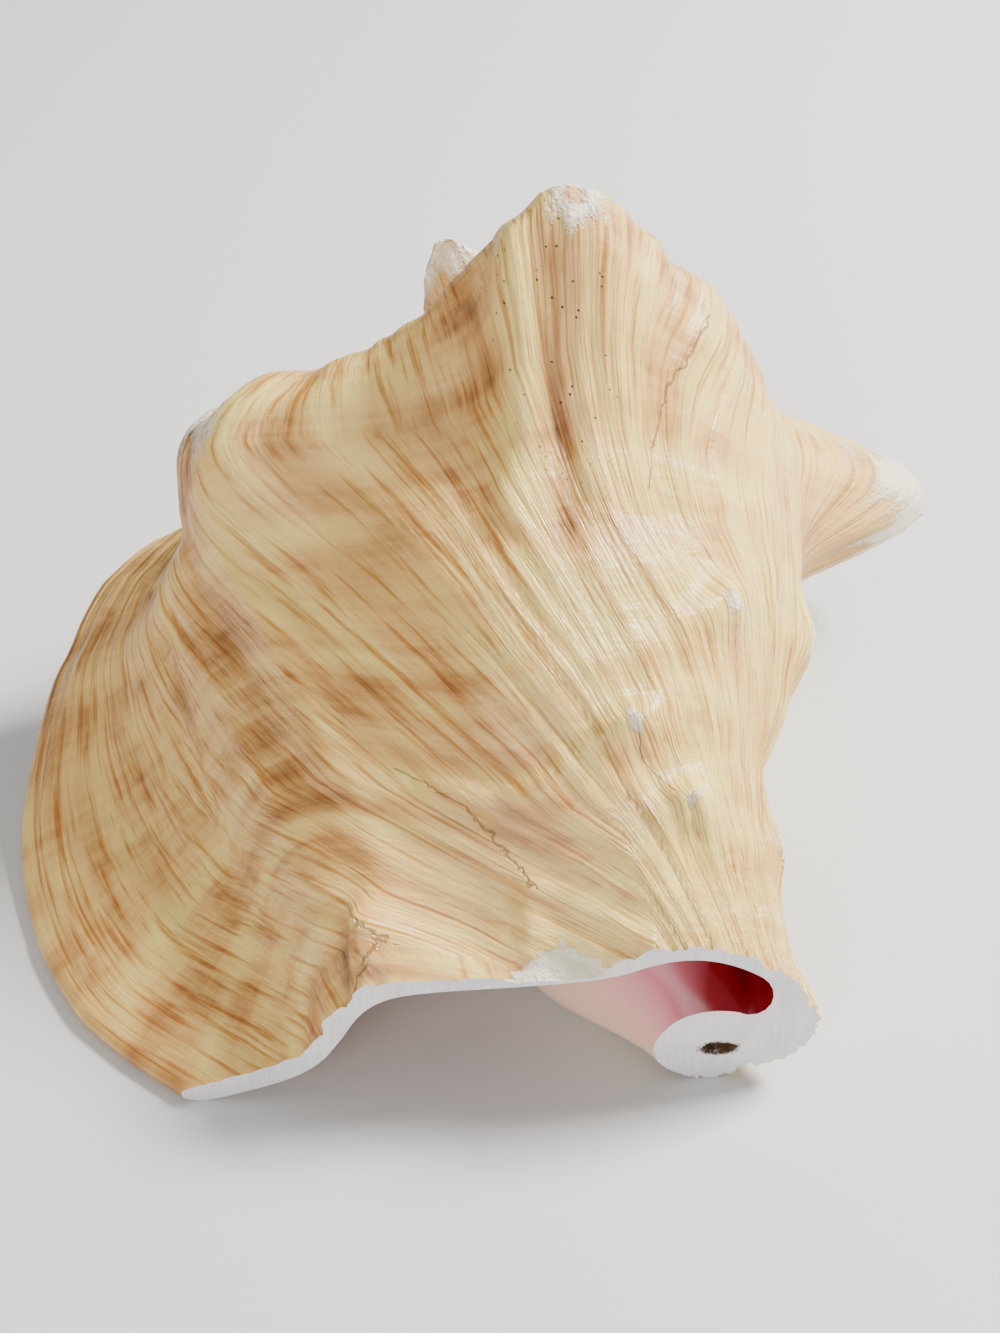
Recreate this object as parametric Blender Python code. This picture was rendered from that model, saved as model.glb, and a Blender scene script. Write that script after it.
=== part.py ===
"""A queen conch shell, resting on its lip, columella and underside, with its front end sawn off.

The shell grew as one piece, so it is one solid. Its outer wall is lofted along growth lines, from the
underside, over the top and out to the flared lip. The wall turns in round the lip's rim, runs back inside
as the pink lining, and meets the columella. The spire closes the back, and a saw cut ends the front.

Lengths are in millimetres in the tables below and become metres when the mesh is made.
Growth angles are in degrees about the shell's axis: 0 is right, 90 is up and 180 is left, seen from the
front, and each whorl is 360 less than the next one. Stations run along each growth line, from 0 at the
suture, over the shoulder at 2, to 8 at the tip.
"""

import math

import bmesh
import bpy
import numpy as np
from mathutils import Vector

MM = 0.001
NODE_NAME = "conch_shell"

# Where the axis leaves the sawn face, and how the axis lies as the shell rests.
AXIS_FRONT = np.array((42.0, -83.0, 8.5))
AXIS_TURN = 12.0
AXIS_RISE = 20.0
SAW_POINT = (38.0, -83.0, 0.0)
SAW_NORMAL = (0.053, -0.9986, 0.0)

# The table is at this height, where the lip, the columella and two knobs are worn flat. The origin is the
# middle of the shell's base.
REST_Z = 0.0
ORIGIN = (1.6, -4.9, 0.0)

# The spire is a logarithmic spiral. Heights are measured from the apex, forwards along the axis.
WHORL_GROWTH = 1.55
APEX_W = 176.0
SHOULDER_HEIGHT = 61.0
SUTURE_SHARE = 0.69
SUTURE_PHASE = 0.847
SPIRE_PROFILE = ((0.0, 0.2, 0.5, 0.847, 0.93, 1.0), (0.87, 0.85, 0.82, 0.80, 0.83, 0.87))
SPIRE_ROWS = (0.05, 0.153, 0.28, 0.42, 0.6, 0.8, 1.0, 1.153, 1.3, 1.5, 1.75, 2.0, 2.153, 2.4, 2.7, 3.0,
              3.3, 3.65, 4.0, 4.6, 5.3, 6.1, 7.0)
SPIRE_KNOB_START = 118.0
SPIRE_KNOB_STEP = 46.0
SPIRE_KNOB_SHARE = 0.28
TALL_SPIRE_KNOB = 0.95
SPIRE_KNOB_LEAN = 0.7

# Ribs are growth lines of the wall without its knobs. Each holds (distance from the saw cut along the axis,
# radius) at stations 1 to 8: ramp, shoulder, upper body, middle, lower body, neck, mouth and tip.
RIBS = {
    -300: ((115, 31), (104, 29), (88, 26), (66, 21), (42, 16), (20, 13), (0, 11.5), (-22, 11)),
    -215: ((114, 33), (103, 32), (88, 31), (66, 29), (42, 27), (20, 23), (0, 9), (-22, 7)),
    -155: ((113, 36), (103, 36), (88, 35), (66, 33), (42, 31), (20, 28), (0, 10), (-22, 7)),
    -125: ((133, 36), (124, 41), (96, 38), (68, 31), (42, 23), (20, 16), (0, 9), (-22, 8)),
    -80: ((132, 38), (123, 43), (94, 38), (66, 30), (42, 20), (20, 13), (0, 8.5), (-22, 8)),
    -35: ((130, 38), (121, 42), (92, 38), (66, 29), (42, 18), (20, 11), (0, 7.5), (-22, 7)),
    5: ((129, 38), (119, 43), (90, 38), (66, 29), (42, 18.5), (20, 14.5), (0, 16), (-22, 15)),
    55: ((127, 40), (115, 47), (92, 45), (66, 37.5), (42, 26), (20, 22), (0, 23), (-22, 22)),
    100: ((125, 47), (117, 56), (93, 56), (66, 51), (42, 41), (20, 32), (0, 27), (-22, 24)),
    125: ((127, 48), (121, 59), (96, 60), (67, 55), (42, 45), (20, 34), (0, 28), (-22, 25)),
}
WALL_START = -125
WING_START = 125
RIM_ANGLE = 205
WALL_BACK = 235

# The flared wing leaves the last rib and runs over a ridge and through a valley out to the rim of the lip.
# Each of the three lines is given at stations 1 to 8.
WING_SHARES = (0.0, 0.33, 0.64, 1.0)
WING_RIDGE = ((-24, 33, 66), (-34, 10, 76), (-54, -4, 61), (-46, -24, 51), (-36, -46, 46), (-26, -67, 40),
              (-16, -87, 32), (-8, -107, 24))
WING_VALLEY = ((-35, 32, 50), (-56, 14, 50), (-69, -4, 37), (-63, -27, 24), (-53, -50, 20), (-39, -70, 18),
               (-27, -91, 18), (-13, -112, 16))
WING_RIM = ((-42, 30, 41), (-71, 20, 39), (-88, 1, 21), (-92, -33, 6), (-77, -68, 4.3), (-47, -92, 4.3),
            (-18, -110, 4.3), (8, -124, 4.3))
WALL_THICKNESS = 4.8
CANAL_THICKNESS = 3.2
CREASE_DROP = 5.0

# The hollow ends behind the lip, at this growth angle for each station 0 to 8, where it is fully round.
HOLLOW_END = (0, 0, 0, -10, 0, 20, 45, 78, 90)

# Knobs of the last whorl: growth angle, station, height, how far back the tip leans, half-widths along
# the growth and along the rib, and how blunt it is.
KNOBS = (
    (-105, 2.05, 16.5, 1, 16, 14, 2.0),
    (-60, 2.05, 17, 1, 16, 14, 2.0),
    (-14, 2.2, 40, 0, 17, 15.5, 2.7),
    (66, 1.8, 7, 4, 15, 15, 2.0),
    (94, 1.9, 29, 13, 17, 17, 1.9),
    (152, 2.05, 17, 5, 21, 19, 2.6),
    (76, 3.97, 3.5, 0, 6, 6, 2.0),
    (102, 4.77, 3.5, 0, 6, 5, 2.0),
    (93, 5.33, 3.0, 0, 6, 5, 2.0),
    (148, 6.4, 3.5, 0, 6, 7, 2.0),
    (33, 5.45, 3.8, 0, 6, 6, 2.0),
    (22, 3.8, 5.5, 0, 7, 7, 2.0),
    (27, 4.7, -3.0, 0, 8, 6, 2.0),
    (117, 1.6, 7, 3, 15, 12, 2.0),
)

# Ridges and troughs of the last whorl: growth angle and station at each end, height and half-width.
RIDGES = (
    (102, 4.77, 138, 5.17, 2.2, 4.0),
    (93, 5.33, 114, 5.75, 1.6, 3.5),
    (76, 3.97, 104, 4.35, 1.4, 4.0),
    (104, 2.1, 113, 3.2, 2.5, 5.0),
    (117, 2.3, 122, 3.2, -2.5, 7.0),
    (84, 2.3, 88, 3.3, -1.5, 6.0),
    (148, 6.4, 158, 7.2, 2.5, 5.0),
    (140, 6.3, 146, 7.2, -2.0, 5.0),
)

# A chip broken from the sawn edge, as its back edge in x and y, and how deep it is.
CHIP_X = (3.0, 9.0, 13.6, 18.0, 23.0)
CHIP_Y = (-85.0, -82.0, -79.4, -81.0, -84.0)
CHIP_DEPTH = 2.4

# The small oval pit where the axis meets the sawn face: its middle, half-sizes and depth.
PIT_MIDDLE = (42.7, -82.8, 9.3)
PIT_HALF = (3.2, 1.8)
PIT_DEPTH = 9.0

# Cream to tan, as linear red, green, blue and alpha.
SHELL_COLOUR = (0.72, 0.55, 0.35, 1.0)

# Edges sharper than this stay sharp when the shell is shaded.
SHARP_ANGLE = 50.0

# How finely the shell is divided.
BODY_COLUMNS = 46
WING_COLUMNS = 16
RIM_COLUMNS = 1
HOLLOW_COLUMNS = 10
TURN_COLUMNS = 2
BACK_COLUMNS = 5
STATIONS = (0, 0.5, 1, 1.35, 1.65, 1.9, 2.15, 2.45, 2.8, 3.2, 3.6, 4, 4.4, 4.8, 5.2, 5.6, 6, 6.3, 6.55,
            6.8, 7.1, 8)


def hermite(start, leaving, end, arriving, t):
    """The cubic from start to end, with the given speeds at its ends."""
    t2 = t * t
    t3 = t2 * t
    return ((2 * t3 - 3 * t2 + 1) * start + (t3 - 2 * t2 + t) * leaving
            + (3 * t2 - 2 * t3) * end + (t3 - t2) * arriving)


def spline(x, knots, values, first=None):
    """Values at each x on a smooth curve. With a first speed, each x has a curve of its own."""
    knots = np.asarray(knots, float)
    values = np.asarray(values, float)
    slopes = np.gradient(values, knots, axis=0)
    own = (np.arange(len(x)),) if first is not None else ()
    if first is not None:
        slopes[0] = first
    i = np.clip(np.searchsorted(knots, x, side="right") - 1, 0, len(knots) - 2)
    span = knots[i + 1] - knots[i]
    shape = (len(x),) + (1,) * (values.ndim - 1 - len(own))
    t = np.clip((x - knots[i]) / span, 0, 1).reshape(shape)
    span = span.reshape(shape)
    here, there = (i,) + own, (i + 1,) + own
    return hermite(values[here], slopes[here] * span, values[there], slopes[there] * span, t)


def axis_frame():
    """The directions along the axis, to the right and up from it."""
    turn = math.radians(AXIS_TURN)
    rise = math.radians(AXIS_RISE)
    along = np.array((-math.sin(turn) * math.cos(rise), math.cos(turn) * math.cos(rise), math.sin(rise)))
    right = np.array((math.cos(turn), math.sin(turn), 0.0))
    return along, right, np.cross(right, along)


def outward(angle):
    """The direction straight out from the axis at each growth angle."""
    _, right, up = axis_frame()
    a = np.radians(angle)[..., None]
    return np.cos(a) * right + np.sin(a) * up


def from_axis(angle, w, radius):
    """Points from growth angle, distance along the axis and radius."""
    return AXIS_FRONT + radius[..., None] * outward(angle) + w[..., None] * axis_frame()[0]


def suture(angle):
    """Where the last whorl meets the one before it, as distance along the axis and radius."""
    height = SUTURE_SHARE * SHOULDER_HEIGHT * WHORL_GROWTH ** ((angle - 90) / 360)
    return APEX_W - height, spire_ratio(np.full_like(height, SUTURE_PHASE)) * height


def spire_ratio(phase):
    """Radius over height on the spire. A whole number of whorls behind the shoulder looks the same."""
    hidden = np.clip(SUTURE_PHASE - phase, 0, None) * 0.5
    turns = np.maximum(phase, SUTURE_PHASE) % 1.0
    return spline(turns, *SPIRE_PROFILE) - hidden


def crease(angle):
    """Where the lining meets the columella wall, just inside the suture."""
    w, radius = suture(angle)
    return w - CREASE_DROP, radius - 1.0


def foot(angle):
    """Station 0 of each rib: the suture, or the crease inside it, and the climb between them."""
    w, radius = suture(angle)
    w_in, radius_in = crease(angle + 360)
    start_w, _ = crease(np.full_like(w, RIM_ANGLE))
    end_w, _ = suture(np.full_like(w, WALL_START))
    share = np.clip((angle - RIM_ANGLE + 360) / (WALL_BACK - RIM_ANGLE), 0, 1)
    height = (APEX_W - start_w) * ((APEX_W - end_w) / (APEX_W - start_w)) ** share
    phase = np.log(shoulder_height(angle + 360) / height) / math.log(WHORL_GROWTH)
    climbing = np.stack((APEX_W - height, height * spire_ratio(phase)), -1)
    inside = np.stack((w_in, radius_in), -1)
    outside = np.stack((w, radius), -1)
    angle = angle[:, None]
    return np.where(angle >= WALL_START, outside, np.where(angle > RIM_ANGLE - 360, climbing, inside))


def shoulder_height(angle):
    """How far the shoulder of the last whorl is from the apex, along the axis."""
    return SHOULDER_HEIGHT * WHORL_GROWTH ** ((angle - 90) / 360)


def body(angle, station):
    """The wall without knobs, where it winds round the axis."""
    angles = sorted(RIBS)
    cage = spline(angle, angles, [RIBS[a] for a in angles])
    cage = np.concatenate((foot(angle)[:, None], cage), axis=1).swapaxes(0, 1)
    first = cage[1] - cage[0]
    w, radius = spline(station, range(9), cage, first).T
    return from_axis(angle, w, radius)


def wing(angle, station):
    """The wall without knobs, where it leaves the axis and flares out to the rim of the lip."""
    share = (angle - WING_START) / (RIM_ANGLE - WING_START)
    start = np.full_like(angle, WING_START)
    root = body(start, station)
    leaving = (root - body(start - 1, station)) * (RIM_ANGLE - WING_START) * 1.3
    lines = [root]
    for i, line in enumerate((WING_RIDGE, WING_VALLEY, WING_RIM)):
        seat = np.full(1, WING_START + (RIM_ANGLE - WING_START) * WING_SHARES[i + 1])
        line = np.concatenate((from_axis(seat, *suture(seat)), line))
        lines.append(spline(station, range(9), line))
    flared = spline(share, WING_SHARES, lines, leaving)
    along_suture = from_axis(angle, *suture(angle))
    fix = along_suture - spline(share, WING_SHARES, seats_on_suture(start), suture_speed(start))
    return flared + fix * np.clip(1 - station, 0, 1)[:, None] ** 2


def seats_on_suture(start):
    """The points of the suture that the wing's lines start from."""
    angles = [start + (RIM_ANGLE - WING_START) * share for share in WING_SHARES]
    return [from_axis(a, *suture(a)) for a in angles]


def suture_speed(start):
    """How fast the suture leaves the last rib."""
    step = from_axis(start, *suture(start)) - from_axis(start - 1, *suture(start - 1))
    return step * (RIM_ANGLE - WING_START) * 1.3


def smooth_wall(angle, station):
    """The whole outer wall without knobs."""
    on_body = body(np.minimum(angle, WING_START), station)
    on_wing = wing(np.maximum(angle, WING_START), station)
    return np.where(angle[:, None] > WING_START, on_wing, on_body)


def wall_normal(angle, station):
    """The outward direction of the smooth wall."""
    low, high = np.clip(station - 0.02, 0, 8), np.clip(station + 0.02, 0, 8)
    back, ahead = angle - 0.4, np.minimum(angle + 0.4, RIM_ANGLE)
    normal = np.cross(smooth_wall(angle, low) - smooth_wall(angle, high),
                      smooth_wall(ahead, station) - smooth_wall(back, station))
    return normal / np.linalg.norm(normal, axis=1)[:, None]


def with_knobs(points, angle):
    """Points of the outer wall, pushed out and back where the shoulder has its knobs."""
    along = axis_frame()[0]
    moved = points.copy()
    for knob_angle, station, height, lean, wide, tall, blunt in KNOBS:
        seat = np.array((knob_angle,), float)
        middle = smooth_wall(seat, np.array((station,), float))
        across = smooth_wall(seat + 1, np.array((station,), float)) - middle
        across /= np.linalg.norm(across)
        offset = points - middle
        side = offset @ across[0]
        rest = np.linalg.norm(offset - side[:, None] * across, axis=1)
        distance = np.sqrt((side / wide) ** 2 + (rest / tall) ** 2)
        push = np.exp(-distance ** blunt) * (abs(angle - knob_angle) < 75)
        moved += push[:, None] * (height * outward(seat) + lean * along)
    for g0, s0, g1, s1, height, half_width in RIDGES:
        share = np.linspace(0, 1, 25)
        path = smooth_wall(g0 + (g1 - g0) * share, s0 + (s1 - s0) * share)
        distance = np.linalg.norm(points[:, None] - path[None], axis=2)
        nearest = share[np.argmin(distance, axis=1)]
        push = np.exp(-(distance.min(axis=1) / half_width) ** 2) * (1 - 0.6 * nearest)
        push *= abs(angle - (g0 + g1) / 2) < 75
        moved += (height * push)[:, None] * outward(angle)
    return moved


def chipped(points):
    """Points of the outer wall, sunk where the sawn edge is chipped."""
    edge = np.interp(points[:, 0], CHIP_X, CHIP_Y, left=-200, right=-200)
    sunk = np.clip((edge - points[:, 1]) / 4.5, 0, 1.4) * CHIP_DEPTH * (points[:, 2] > 20)
    return points - sunk[:, None] * np.array((-0.2, -0.3, 0.93))


def outer_wall(angle, station):
    """The outer wall with its knobs, ridges and chip."""
    return chipped(with_knobs(smooth_wall(angle, station), angle))


def thickness(angle, station):
    """How thick the wall is: thinner over the canal than at the lip."""
    over_canal = np.clip((station - 5) / 1.5, 0, 1) * np.clip((RIM_ANGLE - angle) / 60, 0, 1)
    return (WALL_THICKNESS + (CANAL_THICKNESS - WALL_THICKNESS) * over_canal)[:, None]


def lining(angle, station):
    """The inner face of the wall, which meets the crease at station 0."""
    inner = smooth_wall(angle, station) - thickness(angle, station) * wall_normal(angle, station)
    zero = np.zeros_like(station)
    gap = from_axis(angle, *crease(angle)) - smooth_wall(angle, zero)
    gap += thickness(angle, zero) * wall_normal(angle, zero)
    return inner + gap * np.clip(1 - station, 0, 1)[:, None] ** 2


def loft(surface, angle, station):
    """Points of a surface on a grid of growth angles and stations."""
    angle, station = np.broadcast_arrays(np.asarray(angle, float), np.asarray(station, float))
    return surface(angle.ravel(), station.ravel()).reshape(angle.shape + (3,))


def shell_rings():
    """The wall as columns of points, all round one growth line after another, from station 0 to the tip."""
    stations = np.array(STATIONS, float)[None, :]
    body_angles = np.linspace(WALL_START, WING_START, BODY_COLUMNS + 1)[:, None]
    wing_angles = np.linspace(WING_START, RIM_ANGLE, WING_COLUMNS + 1)[1:, None]
    outside = loft(outer_wall, np.concatenate((body_angles, wing_angles)), stations)
    rim_angle = np.full((1, 1), RIM_ANGLE)
    edge_in = loft(lining, rim_angle, stations)[0]
    edge_out = outside[-1]
    ahead = edge_out - loft(outer_wall, rim_angle - 2, stations)[0]
    ahead /= np.linalg.norm(ahead, axis=1)[:, None]
    turn = np.linspace(0, math.pi, RIM_COLUMNS + 2)[1:-1, None, None]
    middle, half = (edge_out + edge_in) / 2, (edge_out - edge_in) / 2
    bulge = WALL_THICKNESS / 2 * np.clip(stations.T / 0.6, 0, 1)
    rim = middle + np.cos(turn) * half + np.sin(turn) * ahead * bulge
    end = spline(stations[0], range(9), HOLLOW_END)[None, :]
    share = np.linspace(0, 1, HOLLOW_COLUMNS + 1)[1:, None]
    hollow_angles = WING_START + (end - WING_START) * share
    inside_angles = np.concatenate((np.broadcast_to(wing_angles[::-1], (WING_COLUMNS, stations.size)),
                                    np.full((1, stations.size), WING_START), hollow_angles))
    inside = loft(lining, inside_angles, stations)
    core_angles = inside_angles[::-1] - 360
    back_angles = np.linspace(RIM_ANGLE, WALL_BACK, BACK_COLUMNS + 1)[1:-1, None] - 360
    core = loft(body, core_angles, stations)
    core[:, 0] = inside[::-1, 0]
    back = with_knobs_at(loft(body, back_angles, stations), back_angles)
    middle, half = (inside[-1] + core[0]) / 2, (inside[-1] - core[0]) / 2
    inward = loft(body, end - 1, stations)[0] - loft(body, end, stations)[0]
    inward /= np.linalg.norm(inward, axis=1)[:, None]
    turn = np.linspace(0, math.pi, TURN_COLUMNS + 2)[1:-1, None, None]
    dead_end = middle + np.cos(turn) * half + np.sin(turn) * inward * np.linalg.norm(half, axis=1)[:, None]
    return np.concatenate((outside, rim, inside, dead_end, core, back)), len(outside) + len(rim), len(back)


def with_knobs_at(grid, angles):
    """A grid of wall points with the knobs added."""
    angles = np.broadcast_to(angles, grid.shape[:2])
    return with_knobs(grid.reshape(-1, 3), angles.ravel()).reshape(grid.shape)


def spire_grid(ring, angle):
    """Rows of points from the ring round the base of the spire, back to the apex."""
    along, right, up = axis_frame()
    offset = ring - AXIS_FRONT
    height = APEX_W - offset @ along
    flat = np.stack((offset @ right, offset @ up), -1)
    seat = np.degrees(np.arctan2(flat[:, 1], flat[:, 0]))
    seat = angle + (seat - angle + 180) % 360 - 180
    rows = [ring]
    for step in SPIRE_ROWS:
        theta = seat + (angle - seat) * min(1, step / 0.3)
        h = height * WHORL_GROWTH ** -step
        x = np.log(shoulder_height(theta) / h) / math.log(WHORL_GROWTH)
        nearest = np.maximum(np.round(x - 0.15), 1)
        turn = (theta - SPIRE_KNOB_START - 360 * (nearest - 1)) / SPIRE_KNOB_STEP
        across = (turn - np.round(turn)) * SPIRE_KNOB_STEP / 14
        over = (x - nearest) / np.where(x > nearest, 0.36, 0.12)
        knob = np.exp(-across ** 2 - over ** 2) * SPIRE_KNOB_SHARE / (0.55 + 0.45 * nearest)
        knob *= 1 + TALL_SPIRE_KNOB * np.exp(-((theta - SPIRE_KNOB_START) / 25) ** 2) * (nearest == 1)
        knob *= min(1, step / 0.2) * np.where(nearest == 1, np.clip((192 - theta) / 15, 0, 1), 1)
        rows.append(from_axis(theta, APEX_W - h + SPIRE_KNOB_LEAN * knob * h, h * (spire_ratio(x) + knob)))
    return rows


def make_shell():
    """The closed mesh, sawn off at the front and flat where it rests."""
    rings, outer_count, back_count = shell_rings()
    count, rows = rings.shape[:2]
    mesh = bmesh.new()
    grid = [[mesh.verts.new(p * MM) for p in column] for column in rings]
    for i in range(count):
        a, b = grid[i], grid[(i + 1) % count]
        for j in range(rows - 1):
            mesh.faces.new((a[j], a[j + 1], b[j + 1], b[j]))
    around = list(range(outer_count)) + list(range(count - back_count, count))
    inner_edge = outer_count
    around.insert(outer_count, inner_edge)
    closing = RIM_COLUMNS + BACK_COLUMNS + 1
    angles = np.concatenate((np.linspace(WALL_START, WING_START, BODY_COLUMNS + 1),
                             np.linspace(WING_START, RIM_ANGLE, WING_COLUMNS + 1)[1:],
                             np.linspace(RIM_ANGLE, WALL_BACK, closing + 1)[1:-1]))
    layers = spire_grid(rings[around, 0], angles)
    below = [grid[i][0] for i in around]
    for layer in layers[1:]:
        above = [mesh.verts.new(p * MM) for p in layer]
        for i in range(len(below)):
            k = (i + 1) % len(below)
            mesh.faces.new((below[i], below[k], above[k], above[i]))
        below = above
    apex = mesh.verts.new((AXIS_FRONT + (APEX_W - 0.8) * axis_frame()[0]) * MM)
    for i in range(len(below)):
        mesh.faces.new((below[i], below[(i + 1) % len(below)], apex))
    bmesh.ops.remove_doubles(mesh, verts=mesh.verts, dist=1e-6)
    everything = list(mesh.verts) + list(mesh.edges) + list(mesh.faces)
    cut = bmesh.ops.bisect_plane(mesh, geom=everything, plane_co=Vector(SAW_POINT) * MM,
                                 plane_no=SAW_NORMAL, clear_outer=True, dist=1e-6)
    edges = [e for e in cut["geom_cut"] if isinstance(e, bmesh.types.BMEdge)]
    edges += add_pit(mesh)
    bmesh.ops.triangle_fill(mesh, edges=edges, use_beauty=True, normal=SAW_NORMAL)
    bmesh.ops.triangulate(mesh, faces=mesh.faces, quad_method="BEAUTY")
    for vert in mesh.verts:
        vert.co.z = max(vert.co.z, REST_Z * MM)
    bmesh.ops.translate(mesh, verts=mesh.verts, vec=-Vector(ORIGIN) * MM)
    bmesh.ops.recalc_face_normals(mesh, faces=mesh.faces)
    return mesh


def add_pit(mesh):
    """The walls of the small pit. Its mouth lies in the saw cut, as the edges that this returns."""
    normal = Vector(SAW_NORMAL).normalized()
    middle = Vector(PIT_MIDDLE)
    middle -= normal * (middle - Vector(SAW_POINT)).dot(normal)
    sideways = Vector((0, 0, 1)).cross(normal).normalized()
    rings = []
    for depth, size in ((0, 1), (0.55 * PIT_DEPTH, 0.7)):
        ring = []
        for i in range(10):
            a = 2 * math.pi * i / 10
            flat = sideways * PIT_HALF[0] * math.cos(a) + Vector((0, 0, 1)) * PIT_HALF[1] * math.sin(a)
            ring.append(mesh.verts.new((middle + size * flat - normal * depth) * MM))
        rings.append(ring)
    end = mesh.verts.new((middle - normal * PIT_DEPTH) * MM)
    for i in range(10):
        k = (i + 1) % 10
        mesh.faces.new((rings[0][i], rings[0][k], rings[1][k], rings[1][i]))
        mesh.faces.new((rings[1][i], rings[1][k], end))
    return [mesh.edges.get((rings[0][i], rings[0][(i + 1) % 10])) for i in range(10)]


def build():
    """The shell as one object."""
    for old in list(bpy.data.objects):
        bpy.data.objects.remove(old, do_unlink=True)
    collection = bpy.data.collections.new("queen_conch_shell")
    bpy.context.scene.collection.children.link(collection)
    data = bpy.data.meshes.new(NODE_NAME)
    mesh = make_shell()
    mesh.to_mesh(data)
    mesh.free()
    shell = bpy.data.objects.new(NODE_NAME, data)
    collection.objects.link(shell)
    data.materials.append(shell_material())
    data.shade_smooth()
    data.set_sharp_from_angle(angle=math.radians(SHARP_ANGLE))
    return shell


def shell_material():
    """Worn, chalky shell, cream to tan."""
    material = bpy.data.materials.new("worn_shell")
    material.use_nodes = True
    surface = material.node_tree.nodes["Principled BSDF"]
    surface.inputs["Base Color"].default_value = SHELL_COLOUR
    surface.inputs["Roughness"].default_value = 0.5
    return material


build()
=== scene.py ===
"""The looks of a queen conch shell that rests on its lip, columella and underside, sawn off at the front.

The shell is grown as one fine surface, gets its relief, is sawn through, and lies on a pale floor in soft
light. Lengths are in millimetres until the mesh is made, as the shell lies, with +Z up.
"""

import math

import bmesh
import bpy
import numpy as np
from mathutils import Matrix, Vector


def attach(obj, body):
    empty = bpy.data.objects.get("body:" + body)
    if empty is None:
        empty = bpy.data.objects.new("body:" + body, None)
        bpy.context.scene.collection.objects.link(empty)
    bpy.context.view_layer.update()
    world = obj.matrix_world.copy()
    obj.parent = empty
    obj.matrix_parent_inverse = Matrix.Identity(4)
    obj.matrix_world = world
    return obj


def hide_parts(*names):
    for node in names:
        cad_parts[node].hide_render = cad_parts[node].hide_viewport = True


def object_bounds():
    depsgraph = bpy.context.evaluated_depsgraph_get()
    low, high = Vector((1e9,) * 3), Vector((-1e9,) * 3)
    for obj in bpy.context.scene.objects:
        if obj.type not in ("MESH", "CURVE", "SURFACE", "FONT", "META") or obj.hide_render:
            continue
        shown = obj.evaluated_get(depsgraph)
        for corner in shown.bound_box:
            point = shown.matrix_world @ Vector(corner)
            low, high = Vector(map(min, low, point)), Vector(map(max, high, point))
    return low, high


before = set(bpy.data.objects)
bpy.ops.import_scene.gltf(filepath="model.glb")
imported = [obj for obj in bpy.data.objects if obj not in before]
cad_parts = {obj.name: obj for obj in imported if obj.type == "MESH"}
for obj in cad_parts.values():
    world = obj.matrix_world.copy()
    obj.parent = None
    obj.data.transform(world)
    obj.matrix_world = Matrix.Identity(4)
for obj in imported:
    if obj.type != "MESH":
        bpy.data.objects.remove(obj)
cad_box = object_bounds()

# The shell's wall
#
# The real wall is aragonite that the animal laid down at the lip, one growth line after another, while the
# lip wound round the shell's axis. So the wall here is a loft along growth lines too: the outside, the rim of
# the lip, the pink lining inside it, and the columella that the lining winds on to.

MM = 0.001
SHIFT = (-1.6, 4.9, 0.0)
AXIS_FRONT = np.array((42.0, -83.0, 8.5))
AXIS_TURN = 12.0
AXIS_RISE = 20.0
WHORL_GROWTH = 1.55
APEX_W = 176.0
SHOULDER_HEIGHT = 61.0
SUTURE_SHARE = 0.69
SUTURE_PHASE = 0.847
SPIRE_PROFILE = ((0.0, 0.2, 0.5, 0.847, 0.93, 1.0), (0.87, 0.85, 0.82, 0.80, 0.83, 0.87))

# Growth lines at a few growth angles: distance along the axis and radius, at each station from the ramp, 1,
# to the tip, 8. Station 0 is the suture, where the whorl meets the one before it.
RIBS = {
    -300: ((115, 31), (104, 29), (88, 26), (66, 21), (42, 16), (20, 13), (0, 11.5), (-22, 11)),
    -215: ((114, 33), (103, 32), (88, 31), (66, 29), (42, 27), (20, 23), (0, 9), (-22, 7)),
    -155: ((113, 36), (103, 36), (88, 35), (66, 33), (42, 31), (20, 28), (0, 10), (-22, 7)),
    -125: ((133, 36), (124, 41), (96, 38), (68, 31), (42, 23), (20, 16), (0, 9), (-22, 8)),
    -80: ((132, 38), (123, 43), (94, 38), (66, 30), (42, 20), (20, 13), (0, 8.5), (-22, 8)),
    -35: ((130, 38), (121, 42), (92, 38), (66, 29), (42, 18), (20, 11), (0, 7.5), (-22, 7)),
    5: ((129, 38), (119, 43), (90, 38), (66, 29), (42, 18.5), (20, 14.5), (0, 16), (-22, 15)),
    55: ((127, 40), (115, 47), (92, 45), (66, 37.5), (42, 26), (20, 22), (0, 23), (-22, 22)),
    100: ((125, 47), (117, 56), (93, 56), (66, 51), (42, 41), (20, 32), (0, 27), (-22, 24)),
    125: ((127, 48), (121, 59), (96, 60), (67, 55), (42, 45), (20, 34), (0, 28), (-22, 25)),
}
WALL_START = -125
WING_START = 125
RIM_ANGLE = 205
WALL_BACK = 235
TIP_STATION = 8

# The flared wing runs over a ridge and through a valley to the rim of the lip.
WING_SHARES = (0.0, 0.33, 0.64, 1.0)
WING_SPEED = 1.3
WING_RIDGE = ((-24, 33, 66), (-34, 10, 76), (-54, -4, 61), (-46, -24, 51), (-36, -46, 46), (-26, -67, 40),
              (-16, -87, 32), (-8, -107, 24))
WING_VALLEY = ((-35, 32, 50), (-56, 14, 50), (-69, -4, 37), (-63, -27, 24), (-53, -50, 20), (-39, -70, 18),
               (-27, -91, 18), (-13, -112, 16))
WING_RIM = ((-42, 30, 41), (-71, 20, 39), (-88, 1, 21), (-92, -33, 6), (-77, -68, 4.3), (-47, -92, 4.3),
            (-18, -110, 4.3), (8, -124, 4.3))
WALL_THICKNESS = 4.8
CANAL_THICKNESS = 3.2
CREASE_DROP = 5.0
HOLLOW_END = (0, 0, 0, -10, 0, 20, 45, 78, 90)

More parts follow.
